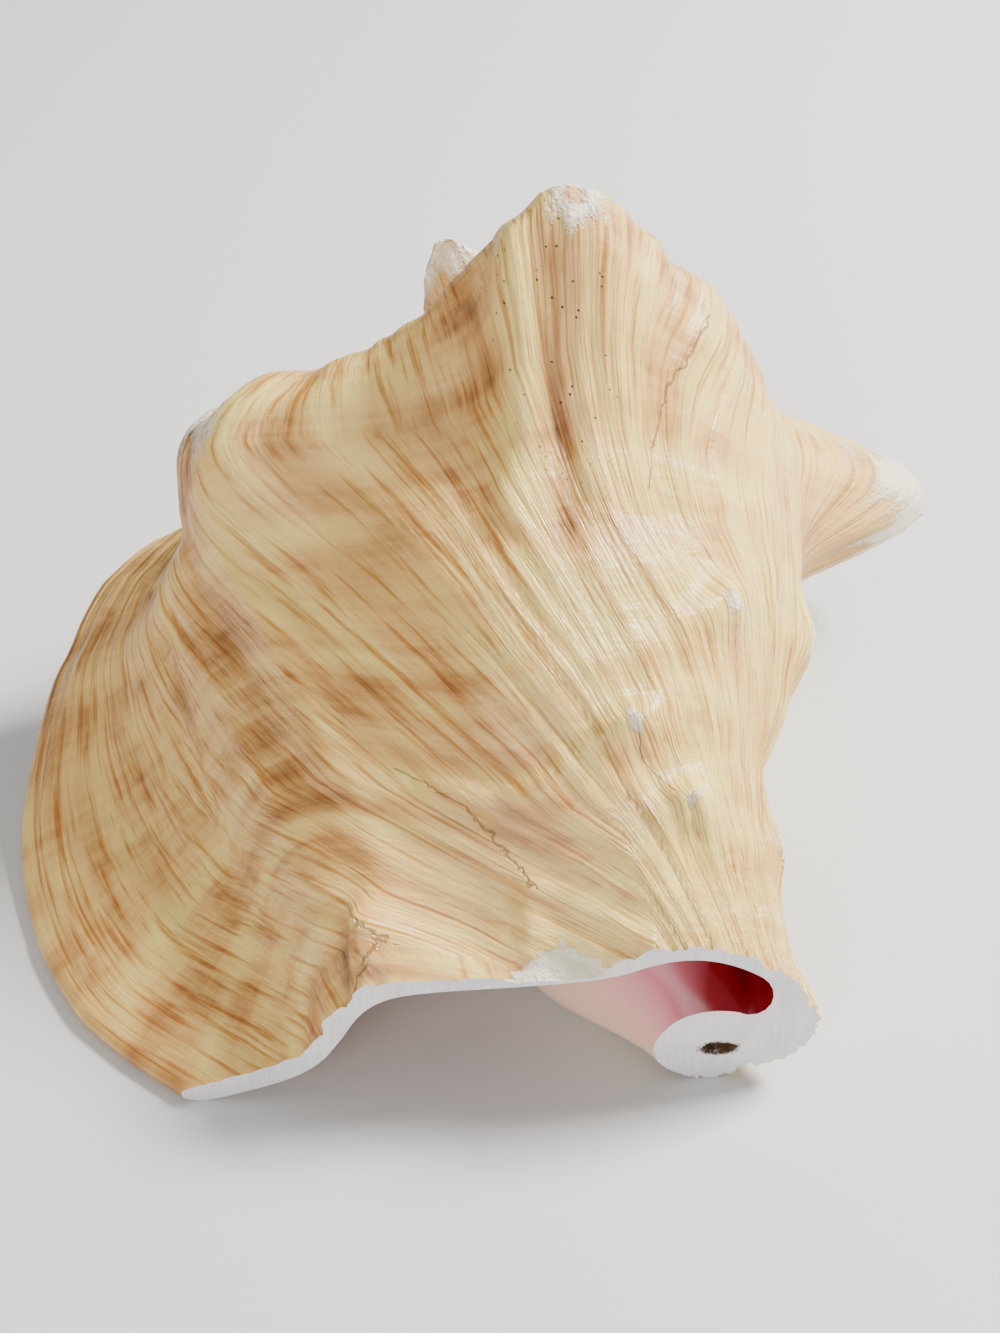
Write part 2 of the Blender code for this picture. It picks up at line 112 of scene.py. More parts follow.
# How finely the wall is divided: finer on the wing and on top than underneath or inside.
OUTSIDE_ANGLES = np.concatenate((np.linspace(WALL_START, 15, 64), np.linspace(16.2, WING_START, 110),
                                 np.linspace(125.8, RIM_ANGLE, 98)))
LINING_ANGLES = np.linspace(203, 127, 38)
RIM_COLUMNS = 5
HOLLOW_COLUMNS = 32
TURN_COLUMNS = 7
BACK_COLUMNS = 14
STATIONS = np.concatenate((np.linspace(0, 1.5, 24), np.linspace(1.55, 7.1, 112),
                           np.linspace(7.25, TIP_STATION, 3)))


def hermite(start, leaving, end, arriving, t):
    """The cubic from start to end, with the given speeds at its ends."""
    t2 = t * t
    t3 = t2 * t
    return ((2 * t3 - 3 * t2 + 1) * start + (t3 - 2 * t2 + t) * leaving
            + (3 * t2 - 2 * t3) * end + (t3 - t2) * arriving)


def spline(x, knots, values, first=None):
    """Values at each x on a smooth curve. With a first speed, each x has a curve of its own."""
    knots = np.asarray(knots, float)
    values = np.asarray(values, float)
    slopes = np.gradient(values, knots, axis=0)
    own = (np.arange(len(x)),) if first is not None else ()
    if first is not None:
        slopes[0] = first
    i = np.clip(np.searchsorted(knots, x, side="right") - 1, 0, len(knots) - 2)
    span = knots[i + 1] - knots[i]
    shape = (len(x),) + (1,) * (values.ndim - 1 - len(own))
    t = np.clip((x - knots[i]) / span, 0, 1).reshape(shape)
    span = span.reshape(shape)
    here, there = (i,) + own, (i + 1,) + own
    return hermite(values[here], slopes[here] * span, values[there], slopes[there] * span, t)


def axis_frame():
    """The directions along the shell's axis, to the right and up from it."""
    turn = math.radians(AXIS_TURN)
    rise = math.radians(AXIS_RISE)
    along = np.array((-math.sin(turn) * math.cos(rise), math.cos(turn) * math.cos(rise), math.sin(rise)))
    right = np.array((math.cos(turn), math.sin(turn), 0.0))
    return along, right, np.cross(right, along)


def outward(angle):
    """The direction straight out from the axis at each growth angle."""
    _, right, up = axis_frame()
    a = np.radians(angle)[..., None]
    return np.cos(a) * right + np.sin(a) * up


def from_axis(angle, w, radius):
    """Points from growth angle, distance along the axis and radius."""
    return AXIS_FRONT + radius[..., None] * outward(angle) + w[..., None] * axis_frame()[0]


def shoulder_height(angle):
    """How far the shoulder of the last whorl is from the apex, along the axis."""
    return SHOULDER_HEIGHT * WHORL_GROWTH ** ((angle - 90) / 360)


def spire_ratio(phase):
    """Radius over height on the spire. A whole number of whorls behind the shoulder looks the same."""
    hidden = np.clip(SUTURE_PHASE - phase, 0, None) * 0.5
    turns = np.maximum(phase, SUTURE_PHASE) % 1.0
    return spline(turns, *SPIRE_PROFILE) - hidden


def suture(angle):
    """Where the last whorl meets the one before it, as distance along the axis and radius."""
    height = SUTURE_SHARE * SHOULDER_HEIGHT * WHORL_GROWTH ** ((angle - 90) / 360)
    return APEX_W - height, spire_ratio(np.full_like(height, SUTURE_PHASE)) * height


def crease(angle):
    """Where the lining meets the columella wall, just inside the suture."""
    w, radius = suture(angle)
    return w - CREASE_DROP, radius - 1.0


def foot(angle):
    """The start of each growth line: the suture, the crease inside it, or the climb between them."""
    w, radius = suture(angle)
    w_in, radius_in = crease(angle + 360)
    start_w, _ = crease(np.full_like(w, RIM_ANGLE))
    end_w, _ = suture(np.full_like(w, WALL_START))
    share = np.clip((angle - RIM_ANGLE + 360) / (WALL_BACK - RIM_ANGLE), 0, 1)
    height = (APEX_W - start_w) * ((APEX_W - end_w) / (APEX_W - start_w)) ** share
    phase = np.log(shoulder_height(angle + 360) / height) / math.log(WHORL_GROWTH)
    climbing = np.stack((APEX_W - height, height * spire_ratio(phase)), -1)
    inside = np.stack((w_in, radius_in), -1)
    outside = np.stack((w, radius), -1)
    angle = angle[:, None]
    return np.where(angle >= WALL_START, outside, np.where(angle > RIM_ANGLE - 360, climbing, inside))


def body(angle, station):
    """The wall without knobs, where it winds round the axis."""
    angles = sorted(RIBS)
    cage = spline(angle, angles, [RIBS[a] for a in angles])
    cage = np.concatenate((foot(angle)[:, None], cage), axis=1).swapaxes(0, 1)
    w, radius = spline(station, range(TIP_STATION + 1), cage, cage[1] - cage[0]).T
    return from_axis(angle, w, radius)


def wing(angle, station):
    """The wall without knobs, where it leaves the axis and flares out to the rim of the lip."""
    reach = RIM_ANGLE - WING_START
    share = (angle - WING_START) / reach
    start = np.full_like(angle, WING_START)
    root = body(start, station)
    leaving = (root - body(start - 1, station)) * reach * WING_SPEED
    seats = [np.full_like(angle, WING_START + reach * s) for s in WING_SHARES]
    on_suture = [from_axis(seat, *suture(seat)) for seat in seats]
    lines = [root]
    for seat, line in zip(on_suture[1:], (WING_RIDGE, WING_VALLEY, WING_RIM)):
        lines.append(spline(station, range(TIP_STATION + 1), np.vstack((seat[:1], line))))
    flared = spline(share, WING_SHARES, lines, leaving)
    step = from_axis(start, *suture(start)) - from_axis(start - 1, *suture(start - 1))
    fix = from_axis(angle, *suture(angle)) - spline(share, WING_SHARES, on_suture, step * reach * WING_SPEED)
    return flared + fix * np.clip(1 - station, 0, 1)[:, None] ** 2


def smooth_wall(angle, station):
    """The whole outer wall without knobs."""
    on_body = body(np.minimum(angle, WING_START), station)
    on_wing = wing(np.maximum(angle, WING_START), station)
    return np.where(angle[:, None] > WING_START, on_wing, on_body)


def wall_normal(angle, station):
    """The outward direction of the smooth wall."""
    low, high = np.clip(station - 0.02, 0, TIP_STATION), np.clip(station + 0.02, 0, TIP_STATION)
    back, ahead = angle - 0.4, np.minimum(angle + 0.4, RIM_ANGLE)
    normal = np.cross(smooth_wall(angle, low) - smooth_wall(angle, high),
                      smooth_wall(ahead, station) - smooth_wall(back, station))
    return normal / np.linalg.norm(normal, axis=1)[:, None]


def lining(angle, station):
    """The inner face of the wall, which is thinner over the canal and meets the crease at the suture."""
    over_canal = np.clip((station - 5) / 1.5, 0, 1) * np.clip((RIM_ANGLE - angle) / 60, 0, 1)
    thick = (WALL_THICKNESS + (CANAL_THICKNESS - WALL_THICKNESS) * over_canal)[:, None]
    inner = smooth_wall(angle, station) - thick * wall_normal(angle, station)
    zero = np.zeros_like(station)
    gap = from_axis(angle, *crease(angle)) - smooth_wall(angle, zero)
    gap += thick * wall_normal(angle, zero)
    return inner + gap * np.clip(1 - station, 0, 1)[:, None] ** 2


# Knobs, ridges and the chipped edge
#
# The shoulder carries a row of blunt knobs, the tall one on top and a long one on the right. Small nodules
# down the front trail low ridges behind them. They are part of the wall, which was pushed out there as it
# grew. A flake is broken from the outer layer above the sawn edge.

KNOBS = (  # growth angle, station, height, lean back, half-widths along the growth and the rib, bluntness
    (-105, 2.05, 16.5, 1, 16, 14, 2.0), (-60, 2.05, 17, 1, 16, 14, 2.0), (-14, 2.2, 40, 0, 17, 15.5, 2.7),
    (66, 1.8, 7, 4, 15, 15, 2.0), (94, 1.9, 29, 13, 17, 17, 1.9), (152, 2.05, 17, 5, 21, 19, 2.6),
    (76, 3.97, 4.3, 0, 6, 5, 2.0), (102, 4.77, 4.6, 0, 6, 4, 2.0), (93, 5.33, 4.0, 0, 6, 4, 2.0),
    (148, 6.4, 3.5, 0, 6, 7, 2.0), (33, 5.45, 3.8, 0, 6, 6, 2.0), (22, 3.8, 5.5, 0, 7, 7, 2.0),
    (27, 4.7, -3.0, 0, 8, 6, 2.0), (117, 1.6, 7, 3, 15, 12, 2.0))
RIDGES = (  # growth angle and station at each end, height and half-width
    (102, 4.77, 138, 5.17, 2.4, 3.0), (93, 5.33, 114, 5.75, 1.6, 3.0), (76, 3.97, 104, 4.35, 1.4, 4.0),
    (106, 2.1, 113, 3.2, 3.4, 4.0), (101, 2.3, 106, 3.4, -2.2, 3.5), (117, 2.3, 122, 3.2, -2.5, 7.0),
    (84, 2.3, 88, 3.3, -1.5, 6.0), (146, 2.9, 145, 5.8, 1.6, 3.5), (153, 3.0, 151, 5.6, -2.0, 4.5),
    (148, 6.4, 158, 7.2, 1.8, 3.5), (153, 6.4, 162, 7.1, -1.1, 3.5), (140, 6.3, 146, 7.2, -1.5, 5.0),
    (133, 5.9, 137, 6.9, 1.5, 2.5), (166, 3.4, 176, 6.4, -1.5, 4.0))
SAW_POINT = (38.0, -83.0, 0.0)
SAW_NORMAL = (0.053, -0.9986, 0.0)
CHIP_X = (3.0, 9.0, 13.6, 18.0, 23.0)
CHIP_Y = (-85.0, -82.0, -79.4, -81.0, -84.0)
CHIP_DEPTH = 1.5
CHIP_SLOPE = 2.0
CHIP_LOWEST = 20.0
CRUMB_DEPTH = 0.55
CRUMB_REACH = 1.3
OUT_AT_CUT = (-0.2, -0.3, 0.93)
KNOB_SPAN = 75
FOLD_SEAT = 0.35
FOLD_REACH = 25
FULLY_FOLDED_HEIGHT = 25
STATION_GAP = 17.5  # two stations are this far apart on the skin
LEAN_GROWTH = ((50, 112, 205), (0, 1, 0))
LEAN_STATION = ((2.6, 5.2, 6.6), (0, 24, 52))
BOW_HEIGHT = 15
BOW_MIDDLE = 78
BOW_WIDTH = 22
BOW_START = 1.9
BOW_LENGTH = 2.6
# Painted highlight: the pale lines that follow the ridges behind the nodules and the ridge where the dome
# turns down to the wing stand for light on their crests; the others are the shell's paler spiral bands.
STRIPES = (  # paler lines across the growth: growth angle and station at each end, and half-width
    (76, 3.97, 135, 4.45, 1.8), (102, 4.77, 150, 5.2, 2.0), (93, 5.33, 128, 5.95, 2.0),
    (138, 5.45, 205, 5.87, 1.8), (120, 4.1, 200, 4.3, 2.2), (150, 6.35, 205, 6.6, 1.8),
    (112, 2.9, 150, 3.3, 2.2), (150, 4.9, 200, 5.2, 1.6), (106, 2.1, 113, 3.2, 2.6),
    (145, 2.9, 144, 5.6, 1.4), (122, 6.2, 142, 6.6, 5.0), (138, 2.3, 148, 2.6, 9.0), (97, 5.7, 110, 6.1, 7.0))
# Painted shade: the darker lines below mostly follow grooves and the valley before the wing, such as the
# groove round the long knob, and darken the colour there as shade would.
GROOVE_SHADE_LINES = (  # darker lines, such as the groove round the long knob, given in the same way
    (-16, 2.5, 12, 2.8, 7.0), (12, 2.8, 20, 3.3, 4.0), (101, 2.3, 106, 3.4, 2.4), (153, 2.6, 150, 5.6, 5.0),
    (115, 2.0, 121, 2.9, 6.0), (153, 6.4, 162, 7.1, 1.6), (112, 6.9, 138, 6.6, 2.2), (40, 7.0, 100, 6.9, 3.0),
    (126, 2.6, 132, 3.2, 5.0))
CHALK = {  # how far each knob of the list above is worn to white chalk, by its place in the list
    0: 9, 1: 9, 2: 25, 4: 6.5, 5: 8, 6: 2.0, 7: 2.2, 8: 2.0, 10: 3.5, 11: 3.5}


def knob_seat(knob):
    """The middle of a knob on the smooth wall, and the direction of growth there."""
    angle, station = np.array((knob[0],), float), np.array((knob[1],), float)
    middle = smooth_wall(angle, station)
    across = smooth_wall(angle + 1, station) - middle
    return middle, across[0] / np.linalg.norm(across)


def ridge_distance(points, ridge):
    """How far each point is from a ridge's line, and how far along the ridge it is."""
    share = np.linspace(0, 1, 25)
    path = smooth_wall(ridge[0] + (ridge[2] - ridge[0]) * share, ridge[1] + (ridge[3] - ridge[1]) * share)
    distance = np.linalg.norm(points[:, None] - path[None], axis=2)
    return distance.min(axis=1), share[np.argmin(distance, axis=1)]


def with_knobs(points, angle):
    """Points of the outer wall pushed out by knobs and ridges."""
    along = axis_frame()[0]
    moved = points.copy()
    for knob in KNOBS:
        height, lean, wide, tall, blunt = knob[2:]
        middle, across = knob_seat(knob)
        offset = points - middle
        side = offset @ across
        rest = np.linalg.norm(offset - side[:, None] * across, axis=1)
        distance = np.sqrt((side / wide) ** 2 + (rest / tall) ** 2)
        push = np.exp(-distance ** blunt) * (abs(angle - knob[0]) < KNOB_SPAN)
        moved += push[:, None] * (height * outward(np.array((knob[0],))) + lean * along)
    for ridge in RIDGES:
        distance, along_ridge = ridge_distance(points, ridge)
        push = np.exp(-(distance / ridge[5]) ** 2) * (1 - 0.6 * along_ridge)
        push *= abs(angle - (ridge[0] + ridge[2]) / 2) < KNOB_SPAN
        moved += (ridge[4] * push)[:, None] * outward(angle)
    return moved


def chip_sink(points):
    """How far down into the broken flake each point of the outer wall is, from 0 to 1."""
    edge = np.interp(points[:, 0], CHIP_X, CHIP_Y, left=-200, right=-200)
    edge = edge + 0.35 * np.sin(points[:, 0] * 2.9) + 0.25 * np.sin(points[:, 0] * 6.1 + 1)
    return np.clip((edge - points[:, 1]) / CHIP_SLOPE, 0, 1) * (points[:, 2] > CHIP_LOWEST)


def outer_wall(angle, station):
    """The outer wall with its knobs, ridges, broken flake and the crumbled edge of the cut."""
    points = with_knobs(smooth_wall(angle, station), angle)
    behind = (np.array(SAW_POINT) - points) @ np.array(SAW_NORMAL)
    x = points[:, 0]
    crumb = np.sin(1.3 * x) + np.sin(2.9 * x + 2) + 0.8 * np.sin(5.3 * x + 1) - 0.6
    chip = chip_sink(points)
    near = np.exp(-(np.clip(behind, 0, None) / CRUMB_REACH) ** 2)
    crumb = np.clip(crumb, 0, 1.6) * near * CRUMB_DEPTH * (1 - chip)
    sunk = CHIP_DEPTH * chip + crumb
    return points - sunk[:, None] * np.array(OUT_AT_CUT)


def worn(points):
    """How chalky the outside is at each point, from 0 to 1: most on the tips of the knobs."""
    along = axis_frame()[0]
    most = np.zeros(len(points))
    for i, reach in CHALK.items():
        knob = KNOBS[i]
        tip = knob_seat(knob)[0] + knob[2] * outward(np.array((knob[0],))) + knob[3] * along
        most = np.maximum(most, np.exp(-(np.linalg.norm(points - tip, axis=1) / reach) ** 2))
    return most


def near_knobs(points):
    """How deeply the growth lines are folded at each point, from 0 to 1: most on the big knobs."""
    most = np.zeros(len(points))
    for knob in KNOBS[:6]:
        side = knob_seat(knob)[0] + FOLD_SEAT * knob[2] * outward(np.array((knob[0],)))
        near = np.exp(-(np.linalg.norm(points - side, axis=1) / FOLD_REACH) ** 2)
        most = np.maximum(most, near * min(1, knob[2] / FULLY_FOLDED_HEIGHT))
    return most


def along_lines(angle, station, lines):
    """How close each place is to the nearest of some lines, from 0 to 1. A line is given as a stripe is.

    A degree of growth counts as a millimetre here, and a station as the gap between stations.
    """
    most = np.zeros(angle.shape)
    for line in lines:
        start = np.array((line[0], STATION_GAP * line[1]))
        reach = np.array((line[2], STATION_GAP * line[3])) - start
        offset = np.stack((angle, STATION_GAP * station), -1) - start
        share = np.clip(offset @ reach / (reach @ reach), 0, 1)
        distance = np.linalg.norm(offset - share[..., None] * reach, axis=-1)
        most = np.maximum(most, np.exp(-(distance / line[4]) ** 2))
    return most


def growth_line(angle, station):
    """Which growth line each place is on. The lines lean towards the canal, and bow round the tall knob."""
    lean = np.interp(angle, *LEAN_GROWTH) * np.interp(station, *LEAN_STATION)
    swing = np.sin(np.pi * np.clip((station - BOW_START) / BOW_LENGTH, 0, 1)) ** 2
    return angle + lean - BOW_HEIGHT * np.exp(-((angle - BOW_MIDDLE) / BOW_WIDTH) ** 2) * swing


def loft(surface, angle, station):
    """Points of a surface on a grid of growth angles and stations."""
    angle, station = np.broadcast_arrays(np.asarray(angle, float), np.asarray(station, float))
    return surface(angle.ravel(), station.ravel()).reshape(angle.shape + (3,))


def wall_columns():
    """The wall all round, one growth line after another.

    Each column has its points, growth angle, how far it is inside (1 on the lining and the columella) and
    how deep in the hollow it is.
    """
    stations = STATIONS[None, :]
    full = np.ones_like(stations)
    outside_angles = OUTSIDE_ANGLES[:, None] * full
    outside = loft(outer_wall, outside_angles, stations)
    rim_angle = np.full((1, 1), RIM_ANGLE)
    edge_in = loft(lining, rim_angle, stations)[0]
    edge_out = outside[-1]
    ahead = edge_out - loft(outer_wall, rim_angle - 2, stations)[0]
    ahead /= np.linalg.norm(ahead, axis=1)[:, None]
    turn = np.linspace(0, math.pi, RIM_COLUMNS + 2)[1:-1, None, None]
    middle, half = (edge_out + edge_in) / 2, (edge_out - edge_in) / 2
    bulge = WALL_THICKNESS / 2 * np.clip(stations.T / 0.6, 0, 1)
    rim = middle + np.cos(turn) * half + np.sin(turn) * ahead * bulge
    wing_angles = LINING_ANGLES[:, None] * full
    end = spline(stations[0], range(TIP_STATION + 1), HOLLOW_END)[None, :]
    share = np.linspace(0, 1, HOLLOW_COLUMNS + 1)[1:, None]
    inside_angles = np.concatenate((wing_angles, WING_START * full, WING_START + (end - WING_START) * share))
    inside = loft(lining, inside_angles, stations)
    core_angles = inside_angles[::-1] - 360
    core = loft(body, core_angles, stations)
    core[:, 0] = inside[::-1, 0]
    back_angles = np.linspace(RIM_ANGLE, WALL_BACK, BACK_COLUMNS + 1)[1:-1, None] * full - 360
    back = loft(body, back_angles, stations)
    back = with_knobs(back.reshape(-1, 3), back_angles.ravel()).reshape(back.shape)
    middle, half = (inside[-1] + core[0]) / 2, (inside[-1] - core[0]) / 2
    inward = loft(body, end - 1, stations)[0] - loft(body, end, stations)[0]
    inward /= np.linalg.norm(inward, axis=1)[:, None]
    turn = np.linspace(0, math.pi, TURN_COLUMNS + 2)[1:-1, None, None]
    dead_end = middle + np.cos(turn) * half + np.sin(turn) * inward * np.linalg.norm(half, axis=1)[:, None]
    depth = (RIM_ANGLE - inside_angles) / (RIM_ANGLE - end)
    rim_share = np.linspace(0, 1, RIM_COLUMNS + 2)[1:-1, None] * full
    back_share = np.linspace(1, 0, BACK_COLUMNS + 1)[1:-1, None] * full
    all_in = np.ones((TURN_COLUMNS, 1)) * full
    columns = (
        (outside, outside_angles, 0 * outside_angles, 0 * outside_angles),
        (rim, RIM_ANGLE + 0 * rim_share, rim_share, 0 * rim_share),
        (inside, inside_angles, 1 + 0 * depth, depth),
        (dead_end, end * all_in, all_in, all_in),
        (core, core_angles, 1 + 0 * depth, depth[::-1]),
        (back, back_angles, back_share, 0 * back_share))
    counts = [len(c[0]) for c in columns]
    return [np.concatenate(c) for c in zip(*columns)], counts


# The spire
#
# Behind the last whorl the older whorls wind back to the apex, each smaller than the next one by the same
# ratio, so the spire is a logarithmic spiral. Its knobs are the shoulder knobs of those whorls.

SPIRE_ROWS = np.concatenate((np.linspace(0.02, 2.2, 88), np.linspace(2.24, 4, 40), np.linspace(4.1, 7, 16)))
SPIRE_KNOB_START = 118.0
SPIRE_KNOB_STEP = 46.0
SPIRE_KNOB_SHARE = 0.28
TALL_SPIRE_KNOB = 0.95
SPIRE_KNOB_LEAN = 0.7
SPIRE_KNOB_WIDTH = 14
SPIRE_KNOB_BEHIND = 0.36
SPIRE_KNOB_AHEAD = 0.16


def spire_rows(ring, angle):
    """Rows of points from the ring round the base of the spire back to the apex, with angle and phase."""
    along, right, up = axis_frame()
    offset = ring - AXIS_FRONT
    height = APEX_W - offset @ along
    seat = np.degrees(np.arctan2(offset @ up, offset @ right))
    seat = angle + (seat - angle + 180) % 360 - 180
    rows = []
    for step in SPIRE_ROWS:
        theta = seat + (angle - seat) * min(1, step / 0.3)
        h = height * WHORL_GROWTH ** -step
        x = np.log(shoulder_height(theta) / h) / math.log(WHORL_GROWTH)
        nearest = np.maximum(np.round(x - 0.15), 1)
        turn = (theta - SPIRE_KNOB_START - 360 * (nearest - 1)) / SPIRE_KNOB_STEP
        across = (turn - np.round(turn)) * SPIRE_KNOB_STEP / SPIRE_KNOB_WIDTH
        over = (x - nearest) / np.where(x > nearest, SPIRE_KNOB_BEHIND, SPIRE_KNOB_AHEAD)
        knob = np.exp(-across ** 2 - over ** 2) * SPIRE_KNOB_SHARE / (0.55 + 0.45 * nearest)
        knob *= 1 + TALL_SPIRE_KNOB * np.exp(-((theta - SPIRE_KNOB_START) / 25) ** 2) * (nearest == 1)
        knob *= min(1, step / 0.2) * np.where(nearest == 1, np.clip((192 - theta) / 15, 0, 1), 1)
        points = from_axis(theta, APEX_W - h + SPIRE_KNOB_LEAN * knob * h, h * (spire_ratio(x) + knob))
        rows.append((points, theta, x, knob))
    return rows


def grown_shell():
    """The whole shell as it grew, still with its front tip, as an open mesh with its growth on each point."""
    (grid, angles, inside, depth), counts = wall_columns()
    stations = STATIONS[None, :] + 0 * angles
    count, rows = angles.shape
    outer, back = counts[0] + counts[1], counts[-1]
    mesh = bmesh.new()
    names = ("growth", "station", "inside", "depth", "worn", "chip", "pale", "folded", "stained")
    layer = {name: mesh.verts.layers.float.new(name) for name in names}
    uv = mesh.loops.layers.uv.new("growth_map")
    flat = grid.reshape(-1, 3)
    chalk, folded = worn(flat), near_knobs(flat)
    # The pale lines are partly painted highlight on ridge crests and partly the shell's pale spiral bands.
    pale = along_lines(angles, stations, STRIPES).ravel()
    # The darker lines are mostly painted shade in the grooves and the valley before the wing.
    stained = along_lines(angles, stations, GROOVE_SHADE_LINES).ravel()
    lines = growth_line(angles, stations)
    values = (lines.ravel(), stations.ravel(), inside.ravel(), depth.ravel(), chalk, chip_sink(flat), pale,
              folded, stained)
    verts = add_points(mesh, layer, flat, np.stack(values, -1))

    def face(corners, marks):
        made = mesh.faces.new(corners)
        made.smooth = True
        for loop, mark in zip(made.loops, marks):
            loop[uv].uv = mark

    for i in range(count):
        k = (i + 1) % count
        for j in range(rows - 1):
            places = ((i, j), (i, j + 1), (k, j + 1), (k, j))
            corners = [verts[n * rows + m] for n, m in places]
            face(corners, [(lines[n, m] / 360, STATIONS[m] / TIP_STATION) for n, m in places])
    around = list(range(outer)) + [outer] + list(range(count - back, count))
    closing = len(around) - counts[0] + 1
    angle = np.concatenate((OUTSIDE_ANGLES, np.linspace(RIM_ANGLE, WALL_BACK, closing + 1)[1:-1]))
    ring = grid[around, 0]
    below = [verts[i * rows] for i in around]
    seat = angle
    height = APEX_W - (ring - AXIS_FRONT) @ axis_frame()[0]
    below_x = np.log(shoulder_height(angle) / height) / math.log(WHORL_GROWTH)
    for points, theta, x, knob in spire_rows(ring, angle):
        whorl = np.floor(x - SUTURE_PHASE)
        place = 2 * (whorl + SUTURE_PHASE + 1 - x) / SUTURE_PHASE
        chalky = np.clip(knob * (0.55 + 0.45 * (whorl + 1)) / SPIRE_KNOB_SHARE - 0.75, 0, 1)
        values = np.stack((theta, place, 0 * x, 0 * x, chalky, 0 * x, 0 * x, 0.3 + 0 * x, 0 * x), -1)
        above = add_points(mesh, layer, points, values)
        for i in range(len(below)):
            k = (i + 1) % len(below)
            wrap = 1 if k == 0 else 0
            corner_x = np.array((below_x[i], below_x[k] + wrap, x[k] + wrap, x[i]))
            turns = np.floor(corner_x.mean() - SUTURE_PHASE)
            place = (turns + SUTURE_PHASE + 1 - corner_x) / SUTURE_PHASE / 4
            growth = (seat[i] / 360, seat[k] / 360 + wrap, theta[k] / 360 + wrap, theta[i] / 360)
            face((below[i], below[k], above[k], above[i]), list(zip(growth, place)))
        below, below_x, seat = above, x, theta
    apex = AXIS_FRONT + (APEX_W - 0.8) * axis_frame()[0]
    tip = add_points(mesh, layer, apex[None], np.array(((0, 0, 0, 0, 0.6, 0, 0, 0, 0),)))[0]
    for i in range(len(below)):
        k = (i + 1) % len(below)
        face((below[i], below[k], tip), [(0.5, 0.1)] * 3)
    bmesh.ops.remove_doubles(mesh, verts=mesh.verts, dist=1e-6)
    bmesh.ops.recalc_face_normals(mesh, faces=mesh.faces)
    return mesh


def add_points(mesh, layer, points, values):
    """New points of the mesh, with their values in its layers."""
    made = []
    for point, row in zip(points * MM, values):
        vert = mesh.verts.new(point)
        for key, value in zip(layer.values(), row):
            vert[key] = value
        made.append(vert)
    return made


# The relief of the outside
#
# Each growth line left a faint fold, and cords run round the whorls across the folds. The chalky tips are
# pitted. A Geometry Nodes tree raises all of this on the fine mesh, and the lining stays smooth.

SKIN_RADIUS = 55  # one turn of growth is laid on a circle of this radius, so that no pattern has a seam


def add(tree, kind, inputs=None, stops=(), **settings):
    """A new node with its settings, a colour ramp's stops, and its inputs set to values or linked."""
    node = tree.nodes.new(kind)
    for name, value in settings.items():
        setattr(node, name, value)
    while stops and len(node.color_ramp.elements) < len(stops):
        node.color_ramp.elements.new(0.5)
    for i, (place, colour) in enumerate(stops):
        node.color_ramp.elements[i].position = place
        node.color_ramp.elements[i].color = colour
    for key, value in (inputs or {}).items():
        if isinstance(value, bpy.types.Node):
            value = value.outputs[0]
        if isinstance(value, bpy.types.NodeSocket):
            tree.links.new(value, node.inputs[key])
        else:
            node.inputs[key].default_value = value
    return node


